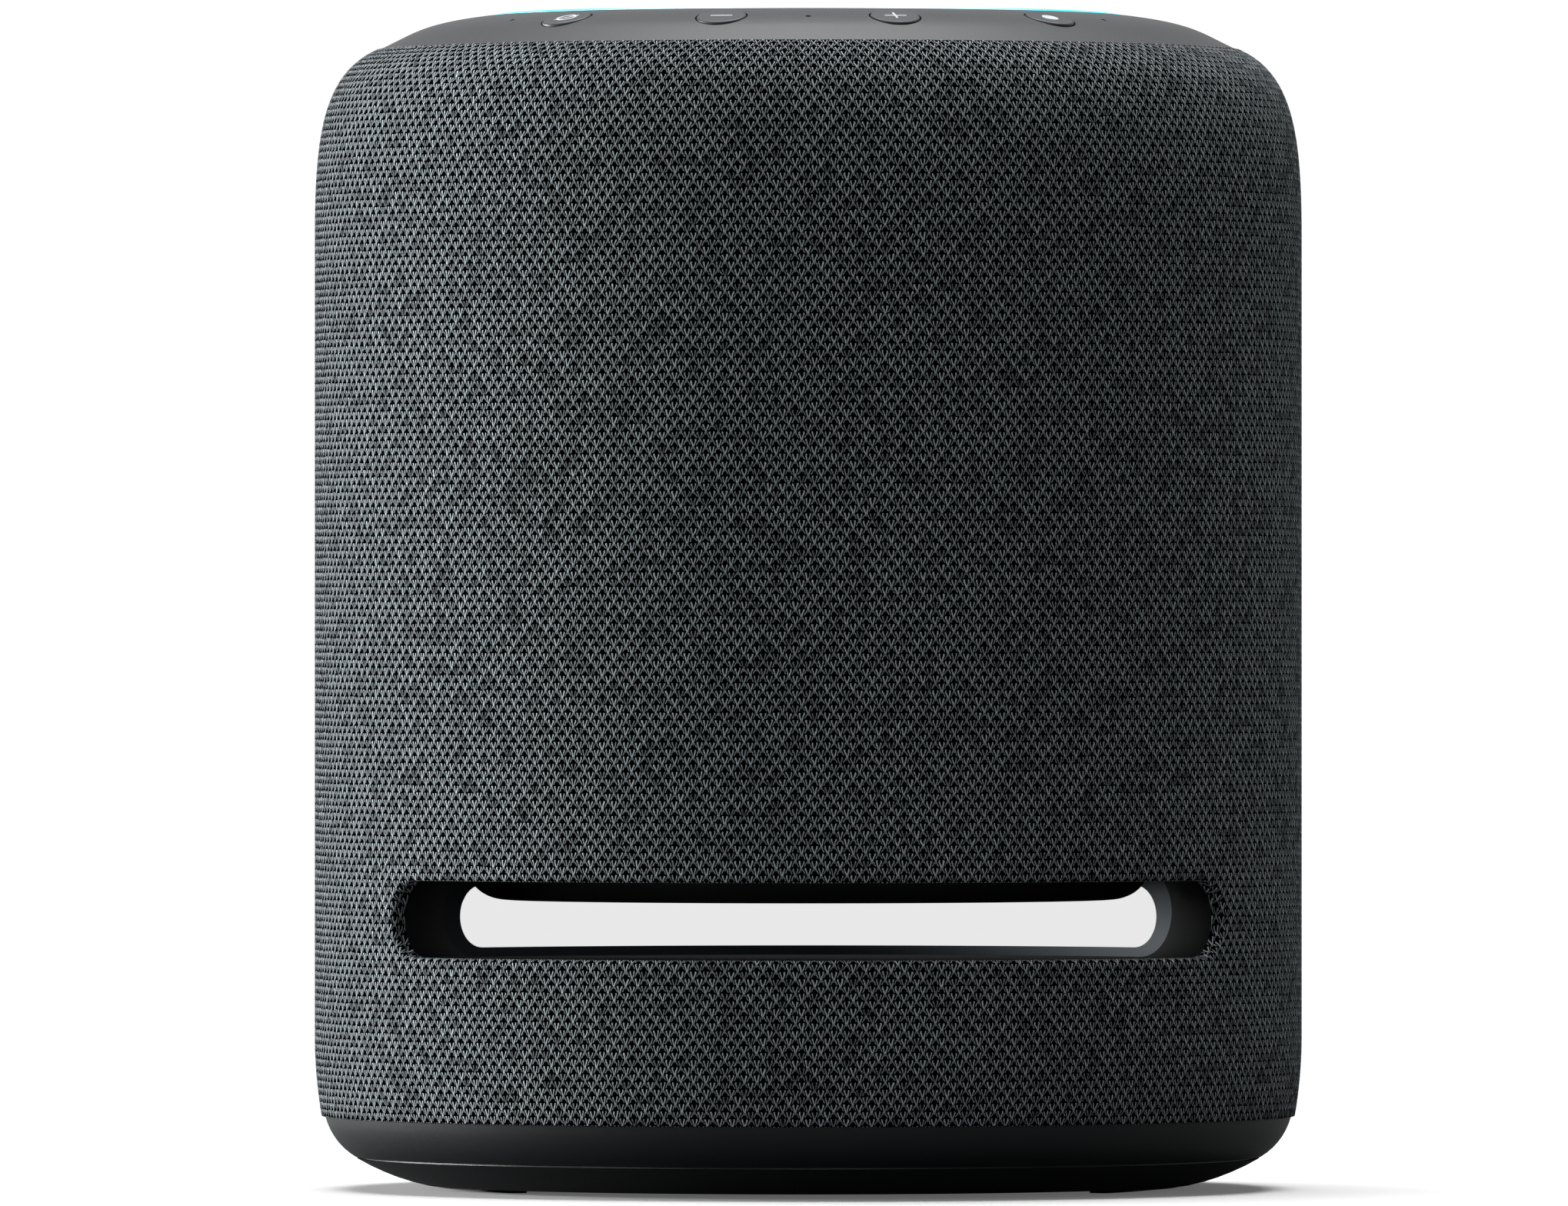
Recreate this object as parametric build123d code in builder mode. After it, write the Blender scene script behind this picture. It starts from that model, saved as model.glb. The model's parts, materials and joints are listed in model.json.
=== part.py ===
from build123d import *
from math import atan2, cos, degrees, radians, sin, sqrt, tan
import os

# Round smart speaker: a knitted sleeve over a plastic tube, a touch band with buttons and a light
# ring on top, a bass slot that goes right through near the bottom, and a plastic foot.
# Millimetres, +Z up, the front faces -Y. The origin is on the floor, on the speaker's own axis.

os.makedirs("parts", exist_ok=True)

# ---------------------------------------------------------------- driving dimensions

# Outside
body_r = 87.0  # outside of the knitted side
overall_h = 207.6  # floor to the top of the centre cloth
pan_z = 0.8  # underside of the base above the floor
sleeve_z0 = 13.0  # bottom edge of the knit
sleeve_top_drop = 6.9  # top edge of the knit below the overall height
taper_in = 1.2  # the knit's side draws in at the bottom
taper_h = 14.0
shoulder_in = 10.6  # and at the top, over the rounded shoulder
shoulder_h = 32.7
knit_t = 1.0
lay_gap = 0.15  # between two faces that lie against each other
wall = 2.4  # moulded walls

# Bass slot
slot_z0 = 41.9
slot_h = 13.1
front_half_angle = 54.3  # degrees either side of straight ahead
rear_half_angle = 45.8
rear_sill_drop = 0.3  # the rear window's sill below the front one
rear_head_drop = 2.2  # and its upper edge below the front one
plate_t = 3.0  # floor and ceiling plates of the slot

# Woofer, facing down into the slot
woofer_r = 66.5
woofer_roll_r = 53.3  # middle of the rubber roll
woofer_roll_half = 6.3
woofer_roll_rise = 5.2
woofer_coil_r = 16.5
woofer_travel = 4.0

# Midrange drivers, one to each side and one upwards
mid_r = 29.4
mid_roll_r = 21.5
mid_roll_half = 2.6
mid_roll_rise = 2.2
mid_coil_r = 8.0
mid_travel = 1.5

# Tweeter, facing the front
tweeter_r = 24.0
dome_r = 12.5
dome_rise = 4.2

# Top band, light ring and buttons
light_ring_r = 56.0
light_ring_w = 3.5
button_r = 4.35
button_gap = 0.25
button_travel = 0.6
button_spacing = 26.4  # degrees round the band
mic_count = 7
mic_hole_r = 0.5

# ---------------------------------------------------------------- levels and radii that follow

sleeve_z1 = overall_h - sleeve_top_drop
rim_r = body_r - shoulder_in
slot_z1 = slot_z0 + slot_h
shell_out = knit_t + lay_gap  # inset of the plastic tube's outer face
shell_in = shell_out + wall
module_r = body_r - taper_in - shell_in - 2 * lay_gap  # what goes in from below has this radius
bore_r = body_r - shell_in  # inside of the tube along its straight stretch

floor_z = slot_z0 - 1.9  # top of the slot's floor
ceiling_z = slot_z1 + 1.3  # underside of its ceiling
baffle_z1 = ceiling_z + plate_t + 1.0
rib_t = 2.2

band_t = 2.3  # top band's wall
band_z0 = sleeve_z1 - 0.9  # the band's foot
flange_z1 = band_z0 - lay_gap  # top of the tube's inward flange
shoulder_lean = 25.0  # degrees, the knit's slope where it ends
mid_z = (baffle_z1 + sleeve_z1) / 2 + 9.5  # height of the side drivers
tweeter_z = mid_z + 10.0


def save(builder, name):
    """Label a finished piece and write it as one STEP file."""
    builder.part.label = name
    export_step(builder.part, f"parts/{name}.step")


def facing(origin, direction):
    """Seat plane whose normal looks in the given direction."""
    return Plane(origin=origin, z_dir=direction)


def across(seat):
    """Plane that holds the seat's axis, with the radius along X and the height along Y."""
    return Plane(seat.origin, x_dir=seat.x_dir, z_dir=seat.x_dir.cross(seat.z_dir))


def turned(seat, *outline):
    """Closed outline in (radius, height) over a seat, to be revolved about the seat's normal."""
    with BuildSketch(across(seat)) as sketch:
        with BuildLine():
            Polyline(*outline, close=True)
        make_face()
    return sketch.sketch


def axis_of(seat):
    """The seat's normal as an axis."""
    return Axis(seat.origin, seat.z_dir)


def tube_section(seat, r_in, r_out, h0, h1):
    """Half section of a plain tube about a seat's normal."""
    return turned(seat, (r_in, h0), (r_out, h0), (r_out, h1), (r_in, h1))


def tube(seat, r_in, r_out, h0, h1, mode=Mode.ADD):
    """Plain tube, disc or ring about a seat's normal, joined to the part or cut from it."""
    revolve(tube_section(seat, r_in, r_out, h0, h1), axis=axis_of(seat), mode=mode)


# ---------------------------------------------------------------- the side's outline


def side_points(inset):
    """Ends and handles of the side outline at an inset: taper, straight stretch and shoulder."""
    lean = radians(shoulder_lean)
    foot = (body_r - taper_in - inset, sleeve_z0)
    mid = (body_r - taper_in / 4 - inset, sleeve_z0 + taper_h / 2)
    taper_top = (body_r - inset, sleeve_z0 + taper_h)
    bend = (body_r - inset, sleeve_z1 - shoulder_h)
    handle = (body_r - inset, bend[1] + shoulder_h * 0.55)
    end = (rim_r - inset * sin(lean), sleeve_z1 - inset * cos(lean))
    run = 10.0
    end_handle = (end[0] + run * cos(lean), end[1] - run * sin(lean))
    return foot, mid, taper_top, bend, handle, end_handle, end


def side_solid(inset):
    """Half section of everything within the side outline at an inset."""
    foot, mid, taper_top, bend, handle, end_handle, end = side_points(inset)
    with BuildSketch(Plane.XZ) as sketch:
        with BuildLine():
            ThreePointArc(foot, mid, taper_top)
            Line(taper_top, bend)
            Bezier(bend, handle, end_handle, end)
            Polyline(end, (0, end[1]), (0, foot[1]), foot)
        make_face()
    return sketch.sketch


def side_skin(inset, inset_in):
    """Half section of a skin between two insets of the side outline."""
    out = side_points(inset)
    inn = side_points(inset_in)
    with BuildSketch(Plane.XZ) as sketch:
        with BuildLine():
            ThreePointArc(out[0], out[1], out[2])
            Line(out[2], out[3])
            Bezier(out[3], out[4], out[5], out[6])
            Line(out[6], inn[6])
            Bezier(inn[3], inn[4], inn[5], inn[6])
            Line(inn[2], inn[3])
            ThreePointArc(inn[0], inn[1], inn[2])
            Line(inn[0], out[0])
        make_face()
    return sketch.sketch


# ---------------------------------------------------------------- the slot's windows


def window(half_width, z0, z1, end_w):
    """Long opening seen square on: straight edges with half-ellipse ends, on the XZ plane."""
    mid = (z0 + z1) / 2
    straight = half_width - end_w
    with BuildSketch(Plane.XZ) as sketch:
        with Locations((0, mid)):
            Rectangle(2 * straight, z1 - z0)
        with Locations((-straight, mid), (straight, mid)):
            Ellipse(end_w, (z1 - z0) / 2)
    return sketch.sketch


def front_window(margin):
    """Front opening, widened by a margin. Its round ends lie on the curved side."""
    turn = radians(front_half_angle)
    end_w = slot_h / 2 * cos(turn) + margin
    return window(body_r * sin(turn) + margin, slot_z0 - margin, slot_z1 + margin, end_w)


rear_z0 = slot_z0 - rear_sill_drop
rear_z1 = slot_z1 - rear_head_drop


def rear_window(margin):
    """Rear opening, widened by a margin."""
    turn = radians(rear_half_angle)
    end_w = (rear_z1 - rear_z0) / 2 * cos(turn) + margin
    return window(body_r * sin(turn) + margin, rear_z0 - margin, rear_z1 + margin, end_w)


# Sockets sit on a flat panel at the back of the base
panel_w = 57.4
panel_h = 17.4
panel_z = (sleeve_z0 + floor_z) / 2
panel_y = sqrt(body_r**2 - (panel_w / 2) ** 2) - 1.0
panel_corner = 4.0


def panel_outline(margin, y):
    """Rounded outline of the socket panel, on an XZ plane at the given depth."""
    with BuildSketch(Plane.XZ.offset(-y)) as sketch:
        with Locations((0, panel_z)):
            RectangleRounded(panel_w + 2 * margin, panel_h + 2 * margin, panel_corner + margin)
    return sketch.sketch


# ---------------------------------------------------------------- knit_sleeve
# Stretched tube of knit from the base to the top band, open at the slot and at the sockets.

with BuildPart() as knit_sleeve:
    revolve(side_skin(0, knit_t), axis=Axis.Z)
    extrude(front_window(0), amount=body_r + 1, mode=Mode.SUBTRACT)
    extrude(rear_window(knit_t), amount=-body_r - 1, mode=Mode.SUBTRACT)
    extrude(panel_outline(lay_gap, body_r + 1), amount=body_r / 2, mode=Mode.SUBTRACT)
save(knit_sleeve, "knit_sleeve")

# ---------------------------------------------------------------- outer_shell, slot_shell
# Two moulded tubes under the knit, one above the other. The upper one has round seats for the side
# drivers and the tweeter, a rib that the slot module is pushed up against, one for the top deck, and
# a flange for the band. The lower one holds the slot's windows and the sockets, and its spigot stands
# up inside the upper one.

seat_w = 4.2  # width of a driver's seat ring
seat_rim = 0.8  # the ring stands out past the driver's flange by this
seat_lift = 0.7  # and is this thick where it is thinnest
mid_seat_x = sqrt(bore_r**2 - (mid_r + seat_rim) ** 2) - seat_lift
tweeter_seat_y = -(sqrt(bore_r**2 - (tweeter_r + seat_rim) ** 2) - seat_lift)
module_rib_r = module_r - 4.0
deck_z0 = sleeve_z1 - 11.5
deck_t = 3.0
deck_z1 = deck_z0 + deck_t
deck_r = rim_r - 2.5
deck_rib_r = deck_r - 3.0
flange_r = rim_r - 5.0
flange_t = 2.4
grille_slot = 3.0
grille_pitch = 5.2
mid_screw_r = mid_r - 1.8
mid_screw_count = 4
tweeter_screw_r = tweeter_r - 2.0
tweeter_screw_count = 3
mid_screw_start = 45.0  # degrees, place of the first screw on each circle
tweeter_screw_start = 30.0
driver_shank_r = 1.0
driver_bite = 2.0  # how far a driver's screws reach into their seat
grille_margin = 0.6  # between the outermost grille slot and the seat ring
spigot_t = 1.2
spigot_h = 2.5
spigot_root = 4.0
spigot_gap = 0.45  # between the spigot's end and the rib
joint_z = baffle_z1 + lay_gap - spigot_h - spigot_gap  # where the two tubes meet

mid_right_seat = facing((mid_seat_x, 0, mid_z), (1, 0, 0))
mid_left_seat = facing((-mid_seat_x, 0, mid_z), (-1, 0, 0))
tweeter_seat = facing((0, tweeter_seat_y, tweeter_z), (0, -1, 0))


def screw_holes(seat, circle_r, count, start, hole_r, depth):
    """Round holes on a circle, sunk to a depth on both sides of the seat."""
    with Locations(seat):
        with PolarLocations(circle_r, count, start_angle=start):
            Cylinder(hole_r, 2 * depth, mode=Mode.SUBTRACT)


def seat_ring(seat, r_out, r_in, depth):
    """Ring that stands on a seat, out towards the side wall."""
    with BuildSketch(seat) as sketch:
        Circle(r_out)
        Circle(r_in, mode=Mode.SUBTRACT)
    return extrude(sketch.sketch, amount=depth, mode=Mode.PRIVATE)


def grille_slots(plane, z_mid, reach):
    """Level rows of slots within a circle, on a plane that holds the Z axis."""
    rows = int((reach - grille_slot / 2) / grille_pitch)
    with BuildSketch(plane) as sketch:
        for row in range(-rows, rows + 1):
            height = row * grille_pitch
            half = sqrt(reach**2 - (abs(height) + grille_slot / 2) ** 2)
            if half > grille_slot:
                with Locations((0, z_mid + height)):
                    SlotOverall(2 * half, grille_slot)
    return sketch.sketch


with BuildPart() as shell_cavity:
    revolve(side_solid(shell_in), axis=Axis.Z)
    for seat, seat_r in ((mid_right_seat, mid_r), (mid_left_seat, mid_r), (tweeter_seat, tweeter_r)):
        add(seat_ring(seat, seat_r + seat_rim, seat_r + seat_rim - seat_w, body_r), mode=Mode.SUBTRACT)
    for rib_r, rib_z in ((module_rib_r, baffle_z1 + lay_gap), (deck_rib_r, deck_z1 + lay_gap)):
        tube(Plane.XY, rib_r, body_r, rib_z, rib_z + rib_t, mode=Mode.SUBTRACT)
    tube(Plane.XY, flange_r, body_r, flange_z1 - flange_t, flange_z1, mode=Mode.SUBTRACT)

with BuildPart() as outer_shell:
    revolve(side_solid(shell_out), axis=Axis.Z)
    add(shell_cavity.part, mode=Mode.SUBTRACT)
    tube(Plane.XY, 0, flange_r, deck_z1, sleeve_z1 + 1, mode=Mode.SUBTRACT)
    tube(Plane.XY, 0, body_r, flange_z1, sleeve_z1 + 1, mode=Mode.SUBTRACT)
    tube(Plane.XY, 0, body_r, 0, joint_z, mode=Mode.SUBTRACT)
    side_slots = grille_slots(Plane.YZ, mid_z, mid_r - seat_w - grille_margin)
    extrude(side_slots, amount=body_r, both=True, mode=Mode.SUBTRACT)
    front_slots = grille_slots(Plane.XZ, tweeter_z, tweeter_r - seat_w - grille_margin)
    extrude(front_slots, amount=body_r, mode=Mode.SUBTRACT)
    for seat in (mid_right_seat, mid_left_seat):
        screw_holes(seat, mid_screw_r, mid_screw_count, mid_screw_start, driver_shank_r, driver_bite)
    screw_holes(tweeter_seat, tweeter_screw_r, tweeter_screw_count, tweeter_screw_start,
                driver_shank_r, driver_bite)
save(outer_shell, "outer_shell")

with BuildPart() as slot_shell:
    revolve(side_solid(shell_out), axis=Axis.Z)
    revolve(side_solid(shell_in), axis=Axis.Z, mode=Mode.SUBTRACT)
    tube(Plane.XY, 0, body_r, 0, sleeve_z0 + lay_gap, mode=Mode.SUBTRACT)
    tube(Plane.XY, 0, body_r, joint_z, overall_h, mode=Mode.SUBTRACT)
    tube(Plane.XY, bore_r - spigot_t, bore_r, joint_z - spigot_root, joint_z)
    tube(Plane.XY, bore_r - spigot_t, bore_r - lay_gap, joint_z, joint_z + spigot_h)
    extrude(front_window(shell_out), amount=body_r + 1, mode=Mode.SUBTRACT)
    extrude(rear_window(0), amount=-body_r - 1, mode=Mode.SUBTRACT)
    extrude(panel_outline(lay_gap, body_r + 1), amount=body_r / 2, mode=Mode.SUBTRACT)
save(slot_shell, "slot_shell")

# ---------------------------------------------------------------- port_floor, port_pillars, port_baffle
# The slot module: a floor, two side walls with rounded inner faces, and the ceiling that carries
# the woofer. Four posts under the floor take the long screws from below.

post_circle_r = 60.0
post_r = 4.5
post_screw_r = 1.5
pan_t = 2.0
post_count = 4
post_start = 45.0
cable_way_w = 5.0
cable_way_l = 30.0
tunnel_lip = 1.8  # the tunnel's walls stand this far outside the windows' ends
tunnel_round = 5.0


def tunnel_half(y):
    """Half width of the slot's tunnel at a depth: straight walls behind the windows' ends."""
    front = radians(front_half_angle)
    rear = radians(rear_half_angle)
    x_front = body_r * sin(front) + tunnel_lip
    y_front = -body_r * cos(front)
    x_rear = body_r * sin(rear) + tunnel_lip
    y_rear = body_r * cos(rear)
    return x_front + (x_rear - x_front) * (y - y_front) / (y_rear - y_front)


def tunnel_section(y):
    """The tunnel's outline at a depth."""
    half_h = (ceiling_z - floor_z) / 2
    side = tunnel_half(y) - tunnel_round
    mid = (ceiling_z + floor_z) / 2
    with BuildSketch(Plane.XZ.offset(-y)) as sketch:
        with BuildLine():
            Line((-side, mid + half_h), (side, mid + half_h))
            EllipticalCenterArc((side, mid), tunnel_round, half_h, start_angle=-90, arc_size=180)
            Line((side, mid - half_h), (-side, mid - half_h))
            EllipticalCenterArc((-side, mid), tunnel_round, half_h, start_angle=90, arc_size=180)
        make_face()
    return sketch.sketch


cable_way_x = (tunnel_half(0) + module_r) / 2 + 0.5

with BuildPart() as port_floor:
    with BuildSketch(Plane.XY.offset(floor_z - plate_t)):
        Circle(module_r)
    extrude(amount=plate_t)
    with BuildSketch(Plane.XY.offset(pan_z + pan_t)):
        with PolarLocations(post_circle_r, post_count, start_angle=post_start):
            Circle(post_r)
    extrude(amount=floor_z - plate_t - pan_z - pan_t)
    with BuildSketch(Plane.XY.offset(pan_z)):
        with PolarLocations(post_circle_r, post_count, start_angle=post_start):
            Circle(post_screw_r)
    extrude(amount=floor_z - plate_t - pan_z, mode=Mode.SUBTRACT)
    with BuildSketch(Plane.XY.offset(floor_z - plate_t)):
        with Locations((-cable_way_x, 0), (cable_way_x, 0)):
            SlotOverall(cable_way_l, cable_way_w, rotation=90)
    extrude(amount=plate_t, mode=Mode.SUBTRACT)
save(port_floor, "port_floor")

with BuildPart() as port_pillars:
    with BuildSketch(Plane.XY.offset(floor_z)):
        Circle(module_r)
    extrude(amount=ceiling_z - floor_z)
    loft([tunnel_section(-body_r), tunnel_section(body_r)], mode=Mode.SUBTRACT)
    with BuildSketch(Plane.XY.offset(floor_z)):
        with Locations((-cable_way_x, 0), (cable_way_x, 0)):
            SlotOverall(cable_way_l, cable_way_w, rotation=90)
    extrude(amount=ceiling_z - floor_z, mode=Mode.SUBTRACT)
save(port_pillars, "port_pillars")

flange_plate_t = 1.8  # woofer's mounting flange
gasket_t = 0.6
rebate_h = flange_plate_t + gasket_t
woofer_open_r = woofer_r - 3.9  # hole in the ceiling, inside the rebate
woofer_screw_r = woofer_r - 1.9
woofer_screw_count = 8
woofer_screw_start = 22.5
woofer_shank_r = 1.2
woofer_hole_r = woofer_shank_r + 0.1
woofer_head_r = 1.7

with BuildPart() as port_baffle:
    revolve(
        turned(
            Plane.XY,
            (woofer_r + lay_gap, ceiling_z),
            (module_r, ceiling_z),
            (module_r, baffle_z1),
            (woofer_open_r, baffle_z1),
            (woofer_open_r, ceiling_z + rebate_h),
            (woofer_r + lay_gap, ceiling_z + rebate_h),
        ),
        axis=Axis.Z,
    )
    with BuildSketch(Plane.XY.offset(ceiling_z)):
        with Locations((-cable_way_x, 0), (cable_way_x, 0)):
            SlotOverall(cable_way_l, cable_way_w, rotation=90)
    extrude(amount=baffle_z1 - ceiling_z, mode=Mode.SUBTRACT)
    screw_holes(Plane.XY.offset(ceiling_z), woofer_screw_r, woofer_screw_count, woofer_screw_start,
                woofer_shank_r, baffle_z1 - ceiling_z)
save(port_baffle, "port_baffle")

# ---------------------------------------------------------------- loudspeaker drivers
# Heights on a driver's seat count from the front face of its flange, out of the cabinet. Each
# driver has a pressed frame, a paper cone with dust cap and voice coil, a rubber surround and a
# magnet.

rubber_t = 0.6
paper_t = 0.6
sheet_t = 1.6
glue_gap = 0.05
foot_w = 1.4
screw_head_h = 1.3
driver_hole_r = driver_shank_r + 0.1
driver_head_r = 1.6


def frame_section(seat, flange_r, open_r, basket_r, knee, depth, hole_r):
    """Pressed frame: flat flange, sloping basket, and a back plate for the magnet."""
    return turned(
        seat,
        (open_r, 0),
        (flange_r, 0),
        (flange_r, -flange_plate_t),
        (open_r + sheet_t / 2, -flange_plate_t),
        (basket_r, -knee),
        (basket_r, -depth),
        (hole_r, -depth),
        (hole_r, -depth + sheet_t),
        (basket_r - sheet_t, -depth + sheet_t),
        (basket_r - sheet_t, -knee),
        (open_r, -sheet_t / 2),
    )


def roll_section(seat, middle, half, rise):
    """Half-roll of a surround, an arch over the gap between cone and frame."""
    centre = (middle, glue_gap)
    outer_half = half + rubber_t / 2
    inner_half = half - rubber_t / 2
    with BuildSketch(across(seat)) as sketch:
        with BuildLine():
            EllipticalCenterArc(centre, outer_half, rise, start_angle=0, arc_size=180)
            EllipticalCenterArc(centre, inner_half, rise - rubber_t, start_angle=0, arc_size=180)
            Line((middle + inner_half, glue_gap), (middle + outer_half, glue_gap))
            Line((middle - inner_half, glue_gap), (middle - outer_half, glue_gap))
        make_face()
    return sketch.sketch


def surround(seat, middle, half, rise, name):
    """Rubber surround with a flat glued foot on each side, written as its own piece."""
    with BuildPart() as piece:
        revolve(roll_section(seat, middle, half, rise), axis=axis_of(seat))
        for foot_start in (middle - half - foot_w, middle + half):
            tube(seat, foot_start, foot_start + foot_w, glue_gap, glue_gap + rubber_t)
    save(piece, name)


def cone_section(seat, lip_r, neck_r, neck_depth):
    """Paper cone with a flat lip under the surround's inner foot."""
    return turned(
        seat,
        (lip_r, 0),
        (lip_r, -paper_t),
        (lip_r - foot_w, -paper_t),
        (neck_r, -neck_depth - paper_t),
        (neck_r, -neck_depth),
        (lip_r - foot_w, 0),
    )


def dome_half(edge_r, rise):
    """Height over its edge of a round dome at half its edge's radius."""
    ball = (edge_r**2 + rise**2) / (2 * rise)
    return rise - ball + sqrt(ball**2 - (edge_r / 2) ** 2)


def dome_section(seat, edge_r, edge_h, rise, thick):
    """Thin round dome over the axis."""
    half_h = edge_h + dome_half(edge_r, rise)
    top_h = edge_h + rise
    low_h = edge_h - thick
    with BuildSketch(across(seat)) as sketch:
        with BuildLine():
            ThreePointArc((edge_r, edge_h), (edge_r / 2, half_h), (0, top_h))
            Line((0, top_h), (0, top_h - thick))
            ThreePointArc((0, top_h - thick), (edge_r / 2, half_h - thick), (edge_r, low_h))
            Line((edge_r, low_h), (edge_r, edge_h))
        make_face()
    return sketch.sketch


def screws(seat, circle_r, count, start, head_r, shank_r, length):
    """Pan-head screws on a circle: heads on the seat's outer side, shanks into it."""
    with Locations(seat):
        with PolarLocations(circle_r, count, start_angle=start):
            Cylinder(head_r, screw_head_h, align=(Align.CENTER, Align.CENTER, Align.MIN))
            Cylinder(shank_r, length, align=(Align.CENTER, Align.CENTER, Align.MAX))


# Woofer: its flange sits in the ceiling's rebate, its cone and roll face the slot's floor.

woofer_seat = facing((0, 0, ceiling_z), (0, 0, -1))
woofer_frame_open = woofer_roll_r + woofer_roll_half + 1.2
woofer_knee = 18.0
woofer_depth = 24.0
woofer_basket_r = 44.0
spider_r = woofer_basket_r - sheet_t
spider_h = -woofer_knee + 0.9
coil_wall = 0.9
coil_out_r = woofer_coil_r + coil_wall / 2
coil_in_r = woofer_coil_r - coil_wall / 2
magnet_gap = 0.7  # between the coil and the iron on each side
woofer_lip_r = woofer_roll_r - woofer_roll_half
woofer_neck_depth = 14.5
top_plate_t = 4.0
magnet_t = 12.0
back_plate_t = 4.0
top_plate_r = 36.0
magnet_r = 38.0
coil_clear = 4.0  # the frame's hole round the coil
magnet_clear = 5.0  # and the magnet's
vent_r = 4.0  # hole through the pole
coil_end_gap = 1.0  # left behind the coil at full travel
spider_land = 4.5  # ledge that the spider is glued to
spider_t = 0.5
ripple_count = 8
ripple_h = 1.2
cap_lap = 2.0  # the dust cap laps over the cone's neck
cap_lift = 1.75
cap_rise = 5.0
basket_window_count = 6
basket_window_w = 26.0
basket_window_l = 24.0
basket_window_margin = 8.0
tab_l = 5.0  # terminal block on the frame
tab_w = 12.0
tab_h = 4.0

with BuildPart() as woofer_gasket:
    tube(woofer_seat, woofer_open_r, woofer_r, -rebate_h, -flange_plate_t)
    screw_holes(woofer_seat, woofer_screw_r, woofer_screw_count, woofer_screw_start, woofer_hole_r,
                rebate_h + 1)
save(woofer_gasket, "woofer_gasket")

with BuildPart() as woofer_frame:
    revolve(
        frame_section(woofer_seat, woofer_r, woofer_frame_open, woofer_basket_r, woofer_knee,
                      woofer_depth, coil_out_r + coil_clear),
        axis=axis_of(woofer_seat),
    )
    tube(woofer_seat, spider_r - spider_land, spider_r + sheet_t / 2, -woofer_knee - sheet_t, -woofer_knee)
    with Locations((0, 0, ceiling_z + woofer_knee / 2 + 0.5)):
        with PolarLocations(woofer_basket_r + basket_window_margin, basket_window_count):
            Box(basket_window_l, basket_window_w, woofer_knee - basket_window_margin, mode=Mode.SUBTRACT)
    screw_holes(woofer_seat, woofer_screw_r, woofer_screw_count, woofer_screw_start, woofer_hole_r,
                flange_plate_t + 1)
    with Locations((woofer_basket_r + tab_l / 2 - sheet_t, 0, ceiling_z + woofer_depth)):
        Box(tab_l, tab_w, tab_h, align=(Align.CENTER, Align.CENTER, Align.MAX))
save(woofer_frame, "woofer_frame")

surround(woofer_seat, woofer_roll_r, woofer_roll_half, woofer_roll_rise, "woofer_surround")

with BuildPart() as woofer_cone:
    woofer_paper = cone_section(woofer_seat, woofer_lip_r, coil_out_r, woofer_neck_depth)
    revolve(woofer_paper, axis=axis_of(woofer_seat))
save(woofer_cone, "woofer_cone")

with BuildPart() as woofer_dust_cap:
    cap_edge_h = -woofer_neck_depth + cap_lift
    revolve(dome_section(woofer_seat, coil_out_r + cap_lap, cap_edge_h, cap_rise, paper_t),
            axis=axis_of(woofer_seat))
save(woofer_dust_cap, "woofer_dust_cap")

with BuildPart() as woofer_voice_coil:
    coil_end = -woofer_depth - top_plate_t - woofer_travel - coil_end_gap
    tube(woofer_seat, coil_in_r, coil_out_r - glue_gap, coil_end, -woofer_neck_depth)
save(woofer_voice_coil, "woofer_voice_coil")

with BuildPart() as woofer_spider:
    spider_in = coil_out_r + 0.2
    ripple = (spider_r - 1.0 - spider_in) / ripple_count
    steps = range(ripple_count + 1)
    low_side = [(spider_in + ripple * step, spider_h + ripple_h * (step % 2)) for step in steps]
    high_side = [(radius, height + spider_t) for radius, height in reversed(low_side)]
    revolve(turned(woofer_seat, *low_side, *high_side), axis=axis_of(woofer_seat))
save(woofer_spider, "woofer_spider")

magnet_h1 = -woofer_depth - top_plate_t
magnet_h0 = magnet_h1 - magnet_t
with BuildPart() as woofer_magnet:
    tube(woofer_seat, coil_out_r + magnet_clear, magnet_r, magnet_h0, magnet_h1)
save(woofer_magnet, "woofer_magnet")

with BuildPart() as woofer_iron:
    tube(woofer_seat, coil_out_r + magnet_gap, top_plate_r, -woofer_depth - top_plate_t, -woofer_depth)
    tube(woofer_seat, 0, top_plate_r, magnet_h0 - back_plate_t, magnet_h0)
    tube(woofer_seat, vent_r, coil_in_r - magnet_gap, magnet_h0 - back_plate_t, -woofer_depth)
    tube(woofer_seat, 0, vent_r, magnet_h0 - back_plate_t - 1, 0, mode=Mode.SUBTRACT)
save(woofer_iron, "woofer_iron")

# Midrange drivers: two look out sideways behind the tube's slots, one looks up at the top grille.

mid_top_seat = facing((0, 0, deck_z1 + lay_gap + flange_plate_t), (0, 0, 1))
mid_open = mid_roll_r + mid_roll_half + 0.3
mid_basket_r = 17.0
mid_knee = 10.5
mid_depth = 13.5
mid_lip_r = mid_roll_r - mid_roll_half
mid_neck_depth = 6.6
mid_coil_wall = 0.7
mid_magnet_r = 16.0
mid_magnet_depth = 12.5
mid_gap = 0.8
mid_hole_clear = 0.4  # the frame's hole round the magnet's groove
mid_groove_r = mid_coil_r + mid_coil_wall + mid_gap
mid_former_in_r = mid_coil_r - 0.1
mid_former_h = -mid_depth - 3.0 - mid_travel
mid_plate_t = 3.0  # iron left under the groove
mid_cap_lap = 0.6
mid_cap_rise = 2.6

mid_seats = {"left": mid_left_seat, "right": mid_right_seat, "top": mid_top_seat}

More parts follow.
